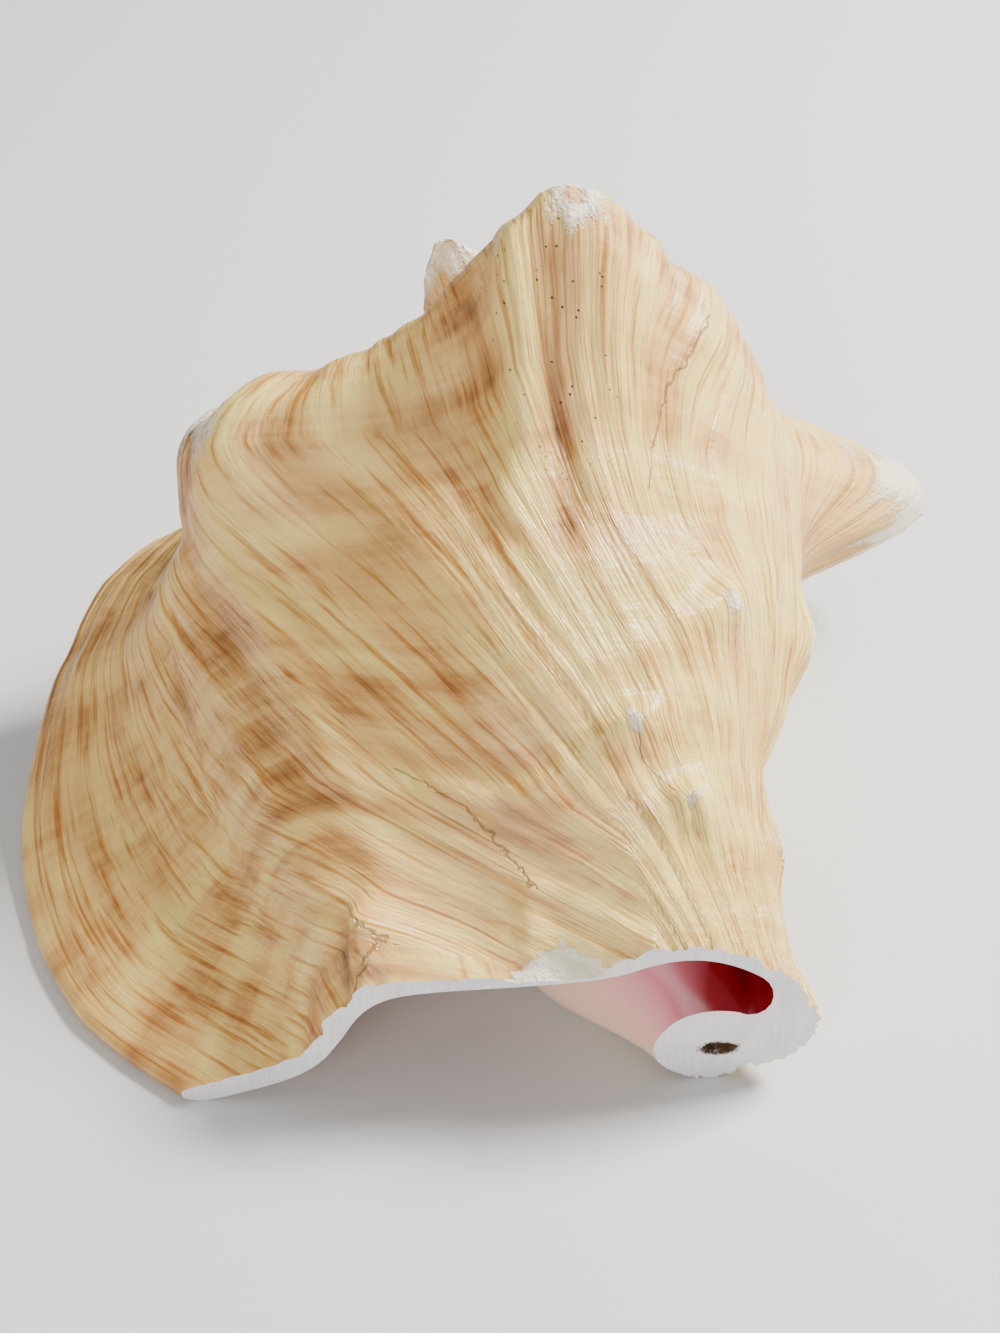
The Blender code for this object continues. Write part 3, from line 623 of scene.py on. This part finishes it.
def growth_relief():
    """The tree that raises waves, folds, cords and chalk pits. Its sizes are named inputs, in millimetres."""
    tree = bpy.data.node_groups.new("growth_relief", "GeometryNodeTree")
    tree.interface.new_socket("Shell", in_out="INPUT", socket_type="NodeSocketGeometry")
    for name in ("Wave Height", "Wave Spacing", "Fold Height", "Fold Spacing", "Cord Height", "Cord Spacing",
                 "Knob Fold Height", "Knob Fold Spacing", "Pit Depth", "Pit Spacing"):
        tree.interface.new_socket(name, in_out="INPUT", socket_type="NodeSocketFloat")
    tree.interface.new_socket("Finish", in_out="INPUT", socket_type="NodeSocketMaterial")
    tree.interface.new_socket("Shell", in_out="OUTPUT", socket_type="NodeSocketGeometry")
    given = tree.nodes.new("NodeGroupInput")
    read = {}
    for name in ("growth", "station", "inside", "worn", "chip", "folded"):
        read[name] = add(tree, "GeometryNodeInputNamedAttribute", {"Name": name}, data_type="FLOAT")
    turn = add(tree, "ShaderNodeMath", {0: read["growth"], 1: math.pi / 180}, operation="MULTIPLY")
    cosine = add(tree, "ShaderNodeMath", {0: turn}, operation="COSINE")
    sine = add(tree, "ShaderNodeMath", {0: turn}, operation="SINE")
    around = add(tree, "ShaderNodeCombineXYZ", {"X": cosine, "Y": sine, "Z": read["station"]})
    skin = add(tree, "ShaderNodeVectorMath", {0: around, 1: (SKIN_RADIUS, SKIN_RADIUS, STATION_GAP)},
               operation="MULTIPLY")
    total = 0.0
    for spacing, height, stretch, detail in (("Wave Spacing", "Wave Height", (1, 1, 0.25), 1.0),
                                             ("Fold Spacing", "Fold Height", (1, 1, 0.08), 2.5),
                                             ("Cord Spacing", "Cord Height", (0.1, 0.1, 1), 1.5),
                                             ("Knob Fold Spacing", "Knob Fold Height", (1, 1, 0.1), 1.0)):
        place = add(tree, "ShaderNodeVectorMath", {0: skin, 1: stretch}, operation="MULTIPLY")
        scale = add(tree, "ShaderNodeMath", {0: 1.0, 1: given.outputs[spacing]}, operation="DIVIDE")
        wave = add(tree, "ShaderNodeTexNoise", {"Vector": place, "Scale": scale, "Detail": detail})
        level = add(tree, "ShaderNodeMath", {0: wave, 1: 0.5}, operation="SUBTRACT")
        raised = add(tree, "ShaderNodeMath", {0: level, 1: given.outputs[height]}, operation="MULTIPLY")
        if height == "Knob Fold Height":
            raised = add(tree, "ShaderNodeMath", {0: raised, 1: read["folded"]}, operation="MULTIPLY")
        total = add(tree, "ShaderNodeMath", {0: total, 1: raised}, operation="ADD")
    place = add(tree, "GeometryNodeInputPosition")
    scale = add(tree, "ShaderNodeMath", {0: 1000.0, 1: given.outputs["Pit Spacing"]}, operation="DIVIDE")
    pits = add(tree, "ShaderNodeTexNoise", {"Vector": place, "Scale": scale, "Detail": 2.0, "Roughness": 0.6})
    deep = add(tree, "ShaderNodeMath", {0: pits, 1: given.outputs["Pit Depth"]}, operation="MULTIPLY")
    flaked = add(tree, "ShaderNodeMath", {0: read["chip"], 1: 0.4}, operation="MULTIPLY")
    rough = add(tree, "ShaderNodeMath", {0: read["worn"], 1: flaked}, operation="MAXIMUM")
    sunk = add(tree, "ShaderNodeMath", {0: deep, 1: rough}, operation="MULTIPLY")
    total = add(tree, "ShaderNodeMath", {0: total, 1: sunk}, operation="SUBTRACT")
    outside = add(tree, "ShaderNodeMath", {0: 1.0, 1: read["inside"]}, operation="SUBTRACT")
    total = add(tree, "ShaderNodeMath", {0: total, 1: outside}, operation="MULTIPLY")
    metres = add(tree, "ShaderNodeMath", {0: total, 1: MM}, operation="MULTIPLY")
    facing = add(tree, "GeometryNodeInputNormal")
    offset = add(tree, "ShaderNodeVectorMath", {0: facing, "Scale": metres}, operation="SCALE")
    moved = add(tree, "GeometryNodeSetPosition", {"Geometry": given.outputs["Shell"], "Offset": offset})
    real = add(tree, "GeometryNodeRealizeInstances", {0: moved})
    done = add(tree, "GeometryNodeSetMaterial", {"Geometry": real, "Material": given.outputs["Finish"]})
    add(tree, "NodeGroupOutput", {0: done})
    return tree


# The finish of the outside and the lining
#
# The outside is weathered aragonite, half dull: cream to honey and tan, in growth bands crossed by paler
# spiral bands, with fine growth lines, and chalky where it is worn. The lining is glazed and shines like
# porcelain, crimson deep in the canal, rose further out and peach on the columella; the dark of the crimson
# deep in the hollow is partly painted shade.

IVORY = "#F8DA7C"
CREAM = "#F2CB74"
STRAW = "#E8B96A"
HONEY = "#D39E58"
TAN = "#B58044"
BROWN = "#8C5E30"
LINE_BROWN = "#CDA778"
CRACK_BROWN = "#7A5A3C"
HOLE_BROWN = "#3E281A"
CHALK_WHITE = "#FAEED2"
LINING_IVORY = "#EED0B4"
LINING_PEACH = "#EAB9A0"
LINING_ROSE = "#DB7C88"
SHADED_LINING_CRIMSON = "#8E0F1E"
KNOB_FOLDS = 6.5
SKIN_AROUND = 345  # one turn of growth is this far on the skin
SKIN_LENGTH = TIP_STATION * STATION_GAP
TO_MM = (1000, 1000, 1000)
CRATER = (16.0, 6.6, 131.0)
CRATER_SIZE = (3.0, 3.6)
HOLE_SPACING = 2.1
CRACKS = (  # growth angle and station of the points of each fine crack
    ((72, 2.17), (78, 2.53), (85, 2.87), (90, 3.23)),
    ((140, 5.0), (135, 5.2), (134, 5.43), (132, 5.83)),
    ((101, 4.8), (103, 5.0), (97, 5.25)),
    ((148, 6.4), (158, 7.0)),
)


def linear(colour):
    """The linear colour of an sRGB hex value."""
    parts = [int(colour[i:i + 2], 16) / 255 for i in (1, 3, 5)]
    return tuple(c / 12.92 if c <= 0.04045 else ((c + 0.055) / 1.055) ** 2.4 for c in parts) + (1.0,)


def weathered_shell():
    """The material of the outside and the lining. Pattern sizes are in millimetres on the shell."""
    material = bpy.data.materials.new("weathered_shell")
    material.use_nodes = True
    tree = material.node_tree
    surface = tree.nodes["Principled BSDF"]
    mapped = add(tree, "ShaderNodeUVMap", uv_map="growth_map")
    uv = add(tree, "ShaderNodeSeparateXYZ", {0: mapped})
    turn = add(tree, "ShaderNodeMath", {0: uv.outputs["X"], 1: 2 * math.pi}, operation="MULTIPLY")
    cosine = add(tree, "ShaderNodeMath", {0: turn}, operation="COSINE")
    sine = add(tree, "ShaderNodeMath", {0: turn}, operation="SINE")
    around = add(tree, "ShaderNodeCombineXYZ", {"X": cosine, "Y": sine, "Z": uv.outputs["Y"]})
    skin = add(tree, "ShaderNodeVectorMath", {0: around, 1: (SKIN_RADIUS, SKIN_RADIUS, SKIN_LENGTH)},
               operation="MULTIPLY")
    where = add(tree, "ShaderNodeTexCoord").outputs["Object"]
    solid = add(tree, "ShaderNodeVectorMath", {0: where, 1: TO_MM}, operation="MULTIPLY")
    read = {}
    for name in ("inside", "depth", "worn", "chip", "pale", "folded", "stained"):
        read[name] = add(tree, "ShaderNodeAttribute", attribute_name=name).outputs["Fac"]
    noise = {}  # each pattern's place, stretch along the three directions, grain size, detail and roughness
    for name, place, stretch, size, detail, roughness in (
            ("bands", skin, (1, 1, 0.3), 6.0, 4.0, 0.6), ("cords", skin, (0.12, 0.12, 1), 6.5, 3.0, 0.55),
            ("streaks", skin, (1, 1, 0.2), 1.8, 3.0, 0.6), ("lines", skin, (1, 1, 0.07), 0.75, 2.0, 0.6),
            ("threads", skin, (0.12, 0.12, 1), 1.3, 2.0, 0.6),
            ("flakes", skin, (1, 1, 0.5), 5.0, 4.0, 0.6), ("folds", skin, (1, 1, 0.1), KNOB_FOLDS, 1.0, 0.5),
            ("blotches", solid, (1, 1, 1), 17.0, 3.0, 0.55), ("grain", solid, (1, 1, 1), 0.7, 3.0, 0.6)):
        vector = add(tree, "ShaderNodeVectorMath", {0: place, 1: stretch}, operation="MULTIPLY")
        noise[name] = add(tree, "ShaderNodeTexNoise", {"Vector": vector, "Scale": 1 / size, "Detail": detail,
                                                       "Roughness": roughness}).outputs[0]

    # Brown strands stand where the cords and blotches let them through, and the wing is browner all over as
    # painted shade, since it faces away from the light.
    strands = 0.0
    for part, share in ((noise["bands"], 0.45), (noise["streaks"], 0.55)):
        strands = add(tree, "ShaderNodeMath", {0: part, 1: share, 2: strands}, operation="MULTIPLY_ADD")
    browned = add(tree, "ShaderNodeMapRange", {0: strands, 1: 0.42, 2: 0.6})
    for name, low, high, least in (("cords", 0.44, 0.54, 0.25), ("blotches", 0.38, 0.6, 0.45)):
        crossing = add(tree, "ShaderNodeMapRange", {0: noise[name], 1: low, 2: high, 3: least, 4: 1.0})
        browned = add(tree, "ShaderNodeMath", {0: browned, 1: crossing}, operation="MULTIPLY")
    wing = add(tree, "ShaderNodeMapRange", {0: uv.outputs["X"], 1: 106 / 360, 2: 150 / 360},
               interpolation_type="SMOOTHSTEP")
    # Painted shade: the colour is darkened in the valleys between the folds round the big knobs, where the
    # relief sinks.
    fold_valley_shade = add(tree, "ShaderNodeMapRange", {0: noise["folds"], 1: 0.52, 2: 0.36})
    fold_valley_shade = add(tree, "ShaderNodeMath", {0: fold_valley_shade, 1: read["folded"]}, operation="MULTIPLY")
    # In the tone, the wing, the fold valleys and the darker lines add painted shade, and the pale lines take
    # tone off, partly as painted highlight on ridge crests.
    tone = -1.2
    for part, share in ((browned, 0.34), (wing, 0.32), (fold_valley_shade, 0.4), (read["folded"], 0.14),
                        (read["pale"], -0.32), (read["stained"], 0.34), (noise["bands"], 0.75),
                        (noise["flakes"], 0.65), (noise["cords"], 0.85), (noise["threads"], 0.3)):
        tone = add(tree, "ShaderNodeMath", {0: part, 1: share, 2: tone}, operation="MULTIPLY_ADD")
    shades = ((0.0, IVORY), (0.22, CREAM), (0.42, STRAW), (0.62, HONEY), (0.82, TAN), (1.0, BROWN))
    colour = add(tree, "ShaderNodeValToRGB", {0: tone},
                 stops=[(place, linear(shade)) for place, shade in shades])
    fine = add(tree, "ShaderNodeMapRange", {0: noise["lines"], 1: 0.5, 2: 0.34, 3: 0.0, 4: 0.9})
    colour = add(tree, "ShaderNodeMix", {"Factor": fine, 6: colour, 7: linear(LINE_BROWN)},
                 data_type="RGBA", blend_type="MULTIPLY").outputs[2]

    # Fine cracks run where the list above has them, a little shaken.
    flat = add(tree, "ShaderNodeVectorMath", {0: mapped, 1: (SKIN_AROUND, SKIN_LENGTH, 0)},
               operation="MULTIPLY")
    shaken = add(tree, "ShaderNodeTexNoise", {"Vector": solid, "Scale": 0.5}).outputs[1]
    shake = Vector((1.4, 1.4, 0))
    wobble = add(tree, "ShaderNodeVectorMath", {0: shaken, 1: shake, 2: flat}, operation="MULTIPLY_ADD")
    nearest = 100.0
    for crack in CRACKS:
        spots = [Vector((growth_line(g, s) / 360 * SKIN_AROUND, s * STATION_GAP, 0)) for g, s in crack]
        for near, far in zip(spots[:-1], spots[1:]):
            reach = far - near
            offset = add(tree, "ShaderNodeVectorMath", {0: wobble, 1: near + shake / 2}, operation="SUBTRACT")
            share = add(tree, "ShaderNodeVectorMath", {0: offset, 1: reach / reach.length_squared},
                        operation="DOT_PRODUCT")
            share = add(tree, "ShaderNodeClamp", {0: share.outputs["Value"]})
            along = add(tree, "ShaderNodeVectorMath", {0: reach, "Scale": share}, operation="SCALE")
            away = add(tree, "ShaderNodeVectorMath", {0: offset, 1: along}, operation="DISTANCE")
            nearest = add(tree, "ShaderNodeMath", {0: away.outputs["Value"], 1: nearest}, operation="MINIMUM")
    crack = add(tree, "ShaderNodeMapRange", {0: nearest, 1: 0.04, 2: 0.2, 3: 0.65, 4: 0.0})
    colour = add(tree, "ShaderNodeMix", {"Factor": crack, 6: colour, 7: linear(CRACK_BROWN)},
                 data_type="RGBA").outputs[2]

    # White chalk with a ragged edge covers the worn tips, and the broken flake shows the same white.
    edge = read["worn"]
    for name, share in (("flakes", 1.6), ("grain", 0.5)):
        edge = add(tree, "ShaderNodeMath", {0: noise[name], 1: share, 2: edge}, operation="MULTIPLY_ADD")
    chalky = add(tree, "ShaderNodeMapRange", {0: edge, 1: 1.32, 2: 1.6})
    rubbed = add(tree, "ShaderNodeMapRange", {0: read["worn"], 1: 0.04, 2: 0.2})
    chalky = add(tree, "ShaderNodeMath", {0: chalky, 1: rubbed}, operation="MULTIPLY")
    chipped = add(tree, "ShaderNodeMapRange", {0: read["chip"], 1: 0.3, 2: 0.5})
    white = add(tree, "ShaderNodeMath", {0: chalky, 1: chipped}, operation="MAXIMUM")

    # Small bore holes stand on the front of the tall knob, and its tip has a shallow crater.
    holes = add(tree, "ShaderNodeTexVoronoi", {"Vector": solid, "Scale": 1 / HOLE_SPACING})
    hole = add(tree, "ShaderNodeMapRange", {0: holes.outputs["Distance"], 1: 0.09, 2: 0.13, 3: 1.0, 4: 0.0})
    for place, gone, full in ((uv.outputs["Y"], 0.42, 0.36), (uv.outputs["X"], 113 / 360, 108 / 360),
                              (uv.outputs["X"], 84 / 360, 92 / 360), (noise["blotches"], 0.43, 0.46)):
        kept = add(tree, "ShaderNodeMapRange", {0: place, 1: gone, 2: full})
        hole = add(tree, "ShaderNodeMath", {0: hole, 1: kept}, operation="MULTIPLY")
    middle = Vector(CRATER) + Vector(SHIFT)
    away = add(tree, "ShaderNodeVectorMath", {0: solid, 1: middle}, operation="DISTANCE").outputs["Value"]
    away = add(tree, "ShaderNodeMath", {0: noise["grain"], 1: 2.5, 2: away}, operation="MULTIPLY_ADD")
    crater = add(tree, "ShaderNodeMapRange", {0: away, 1: CRATER_SIZE[0], 2: CRATER_SIZE[1], 3: 0.8, 4: 0.0})
    sunk = add(tree, "ShaderNodeMath", {0: hole, 1: crater}, operation="MAXIMUM")

    # The glazed lining deepens in colour towards the end of the hollow, to a dark crimson that is partly the
    # lining's own deeper pink and partly painted shade of the hollow.
    shades = ((0.0, LINING_IVORY), (0.22, LINING_PEACH), (0.5, LINING_ROSE), (0.78, SHADED_LINING_CRIMSON))
    lining_tint_and_shade = add(tree, "ShaderNodeValToRGB", {0: read["depth"]},
                stops=[(place, linear(shade)) for place, shade in shades])
    inside = add(tree, "ShaderNodeMapRange", {0: read["inside"], 1: 0.55, 2: 0.95})
    for share, over in ((white, linear(CHALK_WHITE)), (hole, linear(HOLE_BROWN)), (crater, linear(HONEY)),
                        (inside, lining_tint_and_shade)):
        mixed = add(tree, "ShaderNodeMix", {"Factor": share, 6: colour, 7: over}, data_type="RGBA")
        colour = mixed.outputs[2]
    tree.links.new(colour, surface.inputs["Base Color"])

    # Shiny where it is whole, and dull where it is folded, chalky or broken.
    gloss = add(tree, "ShaderNodeMapRange", {0: noise["grain"], 1: 0.3, 2: 0.7, 3: 0.24, 4: 0.44})
    for share, over in ((read["folded"], 0.5), (white, 0.85), (inside, 0.22)):
        gloss = add(tree, "ShaderNodeMix", {"Factor": share, 2: gloss, 3: over})
    tree.links.new(gloss.outputs[0], surface.inputs["Roughness"])
    surface.inputs["IOR"].default_value = 1.55

    # Relief too fine for the mesh: lines, threads, flakes, cracks, holes and chalk, none of it on the lining.
    dust = add(tree, "ShaderNodeMath", {0: noise["grain"], 1: white}, operation="MULTIPLY")
    height = 0.0
    for part, share in ((noise["lines"], 0.35), (noise["streaks"], 0.6), (noise["flakes"], 0.7),
                        (crack, -0.4), (noise["threads"], 0.3), (sunk, -0.6), (dust, 0.8)):
        height = add(tree, "ShaderNodeMath", {0: part, 1: share, 2: height}, operation="MULTIPLY_ADD")
    bare = add(tree, "ShaderNodeMath", {0: 1.0, 1: inside}, operation="SUBTRACT")
    height = add(tree, "ShaderNodeMath", {0: height, 1: bare}, operation="MULTIPLY")
    bump = add(tree, "ShaderNodeBump", {"Height": height, "Distance": 0.001, "Strength": 0.9})
    tree.links.new(bump.outputs[0], surface.inputs["Normal"])
    return material


# The saw cut
#
# The front end is sawn off flat across the wall and the columella. The saw left fine scratches in the
# white, dense shell. A small oval pit is open where the axis meets the cut.

PIT_MIDDLE = (42.7, -82.8, 9.3)
PIT_HALF = (3.2, 1.8)
PIT_DEPTH = 9.0
PIT_SIDES = 32
SCRATCH_GAP = 0.7  # coarser than the saw's real scratches, so that they show
CLOUD_SIZE = 9.0
SAWN_WHITE = "#F4F1EE"
SAWN_LILAC = "#E2DCE2"
PIT_BROWN = "#5A3F24"
BOX_MARGIN = 0.02  # the surface stays this far inside the box of the solid


def sawn_shell():
    """The material of the cut: dense white aragonite, dull from the fine scratches of the saw."""
    material = bpy.data.materials.new("sawn_shell")
    material.use_nodes = True
    tree = material.node_tree
    surface = tree.nodes["Principled BSDF"]
    where = add(tree, "ShaderNodeTexCoord").outputs["Object"]
    solid = add(tree, "ShaderNodeVectorMath", {0: where, 1: TO_MM}, operation="MULTIPLY")
    leaning = add(tree, "ShaderNodeMapping",
                  {"Vector": solid, "Rotation": (0, 0.3, 0), "Scale": (1, 1, 0.08)})
    scratch = add(tree, "ShaderNodeTexNoise", {"Vector": leaning, "Scale": 1 / SCRATCH_GAP, "Detail": 3.0})
    cloud = add(tree, "ShaderNodeTexNoise", {"Vector": solid, "Scale": 1 / CLOUD_SIZE, "Detail": 2.0})
    tint = add(tree, "ShaderNodeValToRGB", {0: cloud},
               stops=((0.35, linear(SAWN_WHITE)), (0.7, linear(SAWN_LILAC))))
    light = add(tree, "ShaderNodeMapRange", {0: scratch, 1: 0.3, 2: 0.6, 3: 0.88, 4: 1.0})
    lined = add(tree, "ShaderNodeMix", {"Factor": 1.0, 6: tint, 7: light},
                data_type="RGBA", blend_type="MULTIPLY")
    middle = Vector(PIT_MIDDLE) + Vector(SHIFT)
    offset = add(tree, "ShaderNodeVectorMath", {0: solid, 1: middle}, operation="SUBTRACT")
    oval = add(tree, "ShaderNodeVectorMath", {0: offset, 1: (1 / PIT_HALF[0], 0.18, 1 / PIT_HALF[1])},
               operation="MULTIPLY")
    size = add(tree, "ShaderNodeVectorMath", {0: oval}, operation="LENGTH").outputs["Value"]
    crumbs = add(tree, "ShaderNodeTexNoise", {"Vector": solid, "Scale": 1.6, "Detail": 3.0})
    size = add(tree, "ShaderNodeMath", {0: crumbs, 1: 0.9, 2: size}, operation="MULTIPLY_ADD")
    stain = add(tree, "ShaderNodeMapRange", {0: size, 1: 1.45, 2: 1.75, 3: 1.0, 4: 0.0})
    stained = add(tree, "ShaderNodeMix", {"Factor": stain, 6: lined.outputs[2], 7: linear(PIT_BROWN)},
                  data_type="RGBA")
    tree.links.new(stained.outputs[2], surface.inputs["Base Color"])
    surface.inputs["Roughness"].default_value = 0.6
    bump = add(tree, "ShaderNodeBump", {"Height": scratch, "Distance": 0.0004, "Strength": 0.7})
    tree.links.new(bump.outputs[0], surface.inputs["Normal"])
    return material


def add_pit(mesh):
    """The walls of the pit, and the edges of its mouth in the cut."""
    normal = Vector(SAW_NORMAL).normalized()
    middle = Vector(PIT_MIDDLE)
    middle -= normal * (middle - Vector(SAW_POINT)).dot(normal)
    sideways = Vector((0, 0, 1)).cross(normal).normalized()
    rings = []
    for depth, size in ((0, 1), (0.15, 0.86), (0.55, 0.7), (0.85, 0.45)):
        ring = []
        for i in range(PIT_SIDES):
            a = 2 * math.pi * i / PIT_SIDES
            ragged = size * (1 + 0.12 * math.sin(3 * a + 1) + 0.08 * math.sin(7 * a + 9 * depth))
            flat = sideways * PIT_HALF[0] * math.cos(a) + Vector((0, 0, 1)) * PIT_HALF[1] * math.sin(a)
            ring.append(mesh.verts.new((middle + ragged * flat - normal * depth * PIT_DEPTH) * MM))
        rings.append(ring)
    end = mesh.verts.new((middle - normal * PIT_DEPTH) * MM)
    for i in range(PIT_SIDES):
        k = (i + 1) % PIT_SIDES
        for near, far in zip(rings[:-1], rings[1:]):
            mesh.faces.new((near[i], near[k], far[k], far[i])).material_index = 1
        mesh.faces.new((rings[-1][i], rings[-1][k], end)).material_index = 1
    return [mesh.edges.get((rings[0][i], rings[0][(i + 1) % PIT_SIDES])) for i in range(PIT_SIDES)]


def saw_off(mesh):
    """Cut the front end off, close the cut, and wear flat what meets the table."""
    everything = list(mesh.verts) + list(mesh.edges) + list(mesh.faces)
    cut = bmesh.ops.bisect_plane(mesh, geom=everything, plane_co=Vector(SAW_POINT) * MM,
                                 plane_no=SAW_NORMAL, clear_outer=True, dist=1e-6)
    edges = [e for e in cut["geom_cut"] if isinstance(e, bmesh.types.BMEdge)]
    mouth = add_pit(mesh)
    edges += mouth
    sawn = bmesh.ops.triangle_fill(mesh, edges=edges, use_beauty=True, normal=SAW_NORMAL)
    for face in sawn["geom"]:
        if isinstance(face, bmesh.types.BMFace):
            face.material_index = 1
    for face in [f for f in mesh.faces if len(f.verts) > 4]:
        bmesh.ops.triangulate(mesh, faces=[face])
    for edge in mesh.edges:
        edge.smooth = len({face.material_index for face in edge.link_faces}) == 1
    for edge in mouth:
        edge.smooth = False
    for vert in mesh.verts:
        vert.co.z = max(vert.co.z, 0.0)
    bmesh.ops.translate(mesh, verts=mesh.verts, vec=Vector(SHIFT) * MM)
    bmesh.ops.recalc_face_normals(mesh, faces=mesh.faces)


grown = grown_shell()
data = bpy.data.meshes.new("grown_shell")
grown.to_mesh(data)
grown.free()
rough_shell = bpy.data.objects.new("grown_shell", data)
bpy.context.scene.collection.objects.link(rough_shell)
relief = rough_shell.modifiers.new("relief", "NODES")
relief.node_group = growth_relief()
sizes = {"Wave Height": 3.0, "Wave Spacing": 15.0, "Fold Height": 2.8, "Fold Spacing": 3.4,
         "Cord Height": 2.2, "Cord Spacing": 7.0, "Knob Fold Height": 5.5, "Knob Fold Spacing": KNOB_FOLDS,
         "Pit Depth": 2.2, "Pit Spacing": 2.0, "Finish": weathered_shell()}
for item in relief.node_group.interface.items_tree:
    if item.in_out == "INPUT" and item.name in sizes:
        relief[item.identifier] = sizes[item.name]
carved = bpy.data.meshes.new_from_object(rough_shell.evaluated_get(bpy.context.evaluated_depsgraph_get()))
bpy.data.objects.remove(rough_shell, do_unlink=True)

shell_mesh = bmesh.new()
shell_mesh.from_mesh(carved)
saw_off(shell_mesh)
shell_mesh.to_mesh(carved)
shell_mesh.free()
points = np.empty(len(carved.vertices) * 3)
carved.vertices.foreach_get("co", points)
points = points.reshape(-1, 3)
low, high = points.min(0), points.max(0)
room_low = np.maximum(low, np.array(cad_box[0]) + BOX_MARGIN * MM)
room_high = np.minimum(high, np.array(cad_box[1]) - BOX_MARGIN * MM)
room_low[2] = 0.0
points = room_low + (points - low) / (high - low) * (room_high - room_low)
carved.vertices.foreach_set("co", points.ravel())
carved.name = "conch_shell_surface"
carved.materials.append(sawn_shell())
shell = bpy.data.objects.new("conch_shell_surface", carved)
bpy.context.scene.collection.objects.link(shell)
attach(shell, "root")
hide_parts("conch_shell")
print("shell", len(carved.vertices), "points", sum(len(p.vertices) - 2 for p in carved.polygons), "triangles")


# The floor, the light and the camera
#
# A plain pale floor under soft studio light. The strongest light comes from the upper right, as a window's
# would, and the camera looks 45 degrees down at the sawn front.

PAPER_GREY = "#D9D8D5"
STUDIO_WHITE = "#F0F0F0"
FLOOR_HALF = 3.0
LAMPS = (  # name, place, size in metres, and power in watts
    ("window", (0.7, 0.25, 0.8), 0.32, 34.0), ("fill", (-0.35, -1.05, 0.6), 0.9, 9.5),
    ("sky", (0.0, 0.1, 1.3), 1.2, 4.0))
LOOKED_AT = Vector((0, 0, 0.05))
CAMERA_PLACE = (0.0016, -0.2851, 0.314)
CAMERA_LENS = 54.17

floor_mesh = bpy.data.meshes.new("floor")
floor_bmesh = bmesh.new()
bmesh.ops.create_grid(floor_bmesh, x_segments=1, y_segments=1, size=FLOOR_HALF)
floor_bmesh.to_mesh(floor_mesh)
floor_bmesh.free()
floor = bpy.data.objects.new("floor", floor_mesh)
bpy.context.scene.collection.objects.link(floor)
# Matt paper, so that the floor shows no glare.
paper = bpy.data.materials.new("pale_paper")
paper.use_nodes = True
paper.node_tree.nodes["Principled BSDF"].inputs["Base Color"].default_value = linear(PAPER_GREY)
paper.node_tree.nodes["Principled BSDF"].inputs["Roughness"].default_value = 0.9
floor_mesh.materials.append(paper)

world = bpy.context.scene.world or bpy.data.worlds.new("studio")
bpy.context.scene.world = world
world.use_nodes = True
world.node_tree.nodes["Background"].inputs["Color"].default_value = linear(STUDIO_WHITE)
world.node_tree.nodes["Background"].inputs["Strength"].default_value = 0.22
for name, place, size, power in LAMPS:
    lamp = bpy.data.lights.new(name, "AREA")
    lamp.size = size
    lamp.energy = power
    light = bpy.data.objects.new(name, lamp)
    light.location = place
    light.rotation_euler = (LOOKED_AT - Vector(place)).to_track_quat("-Z", "Y").to_euler()
    bpy.context.scene.collection.objects.link(light)

camera = bpy.data.objects.new("camera", bpy.data.cameras.new("camera"))
camera.data.sensor_width = 36.0
camera.data.lens = CAMERA_LENS
camera.data.clip_start = 0.01
camera.location = CAMERA_PLACE
camera.rotation_euler = (math.radians(45), 0, 0)
bpy.context.scene.collection.objects.link(camera)
bpy.context.scene.camera = camera
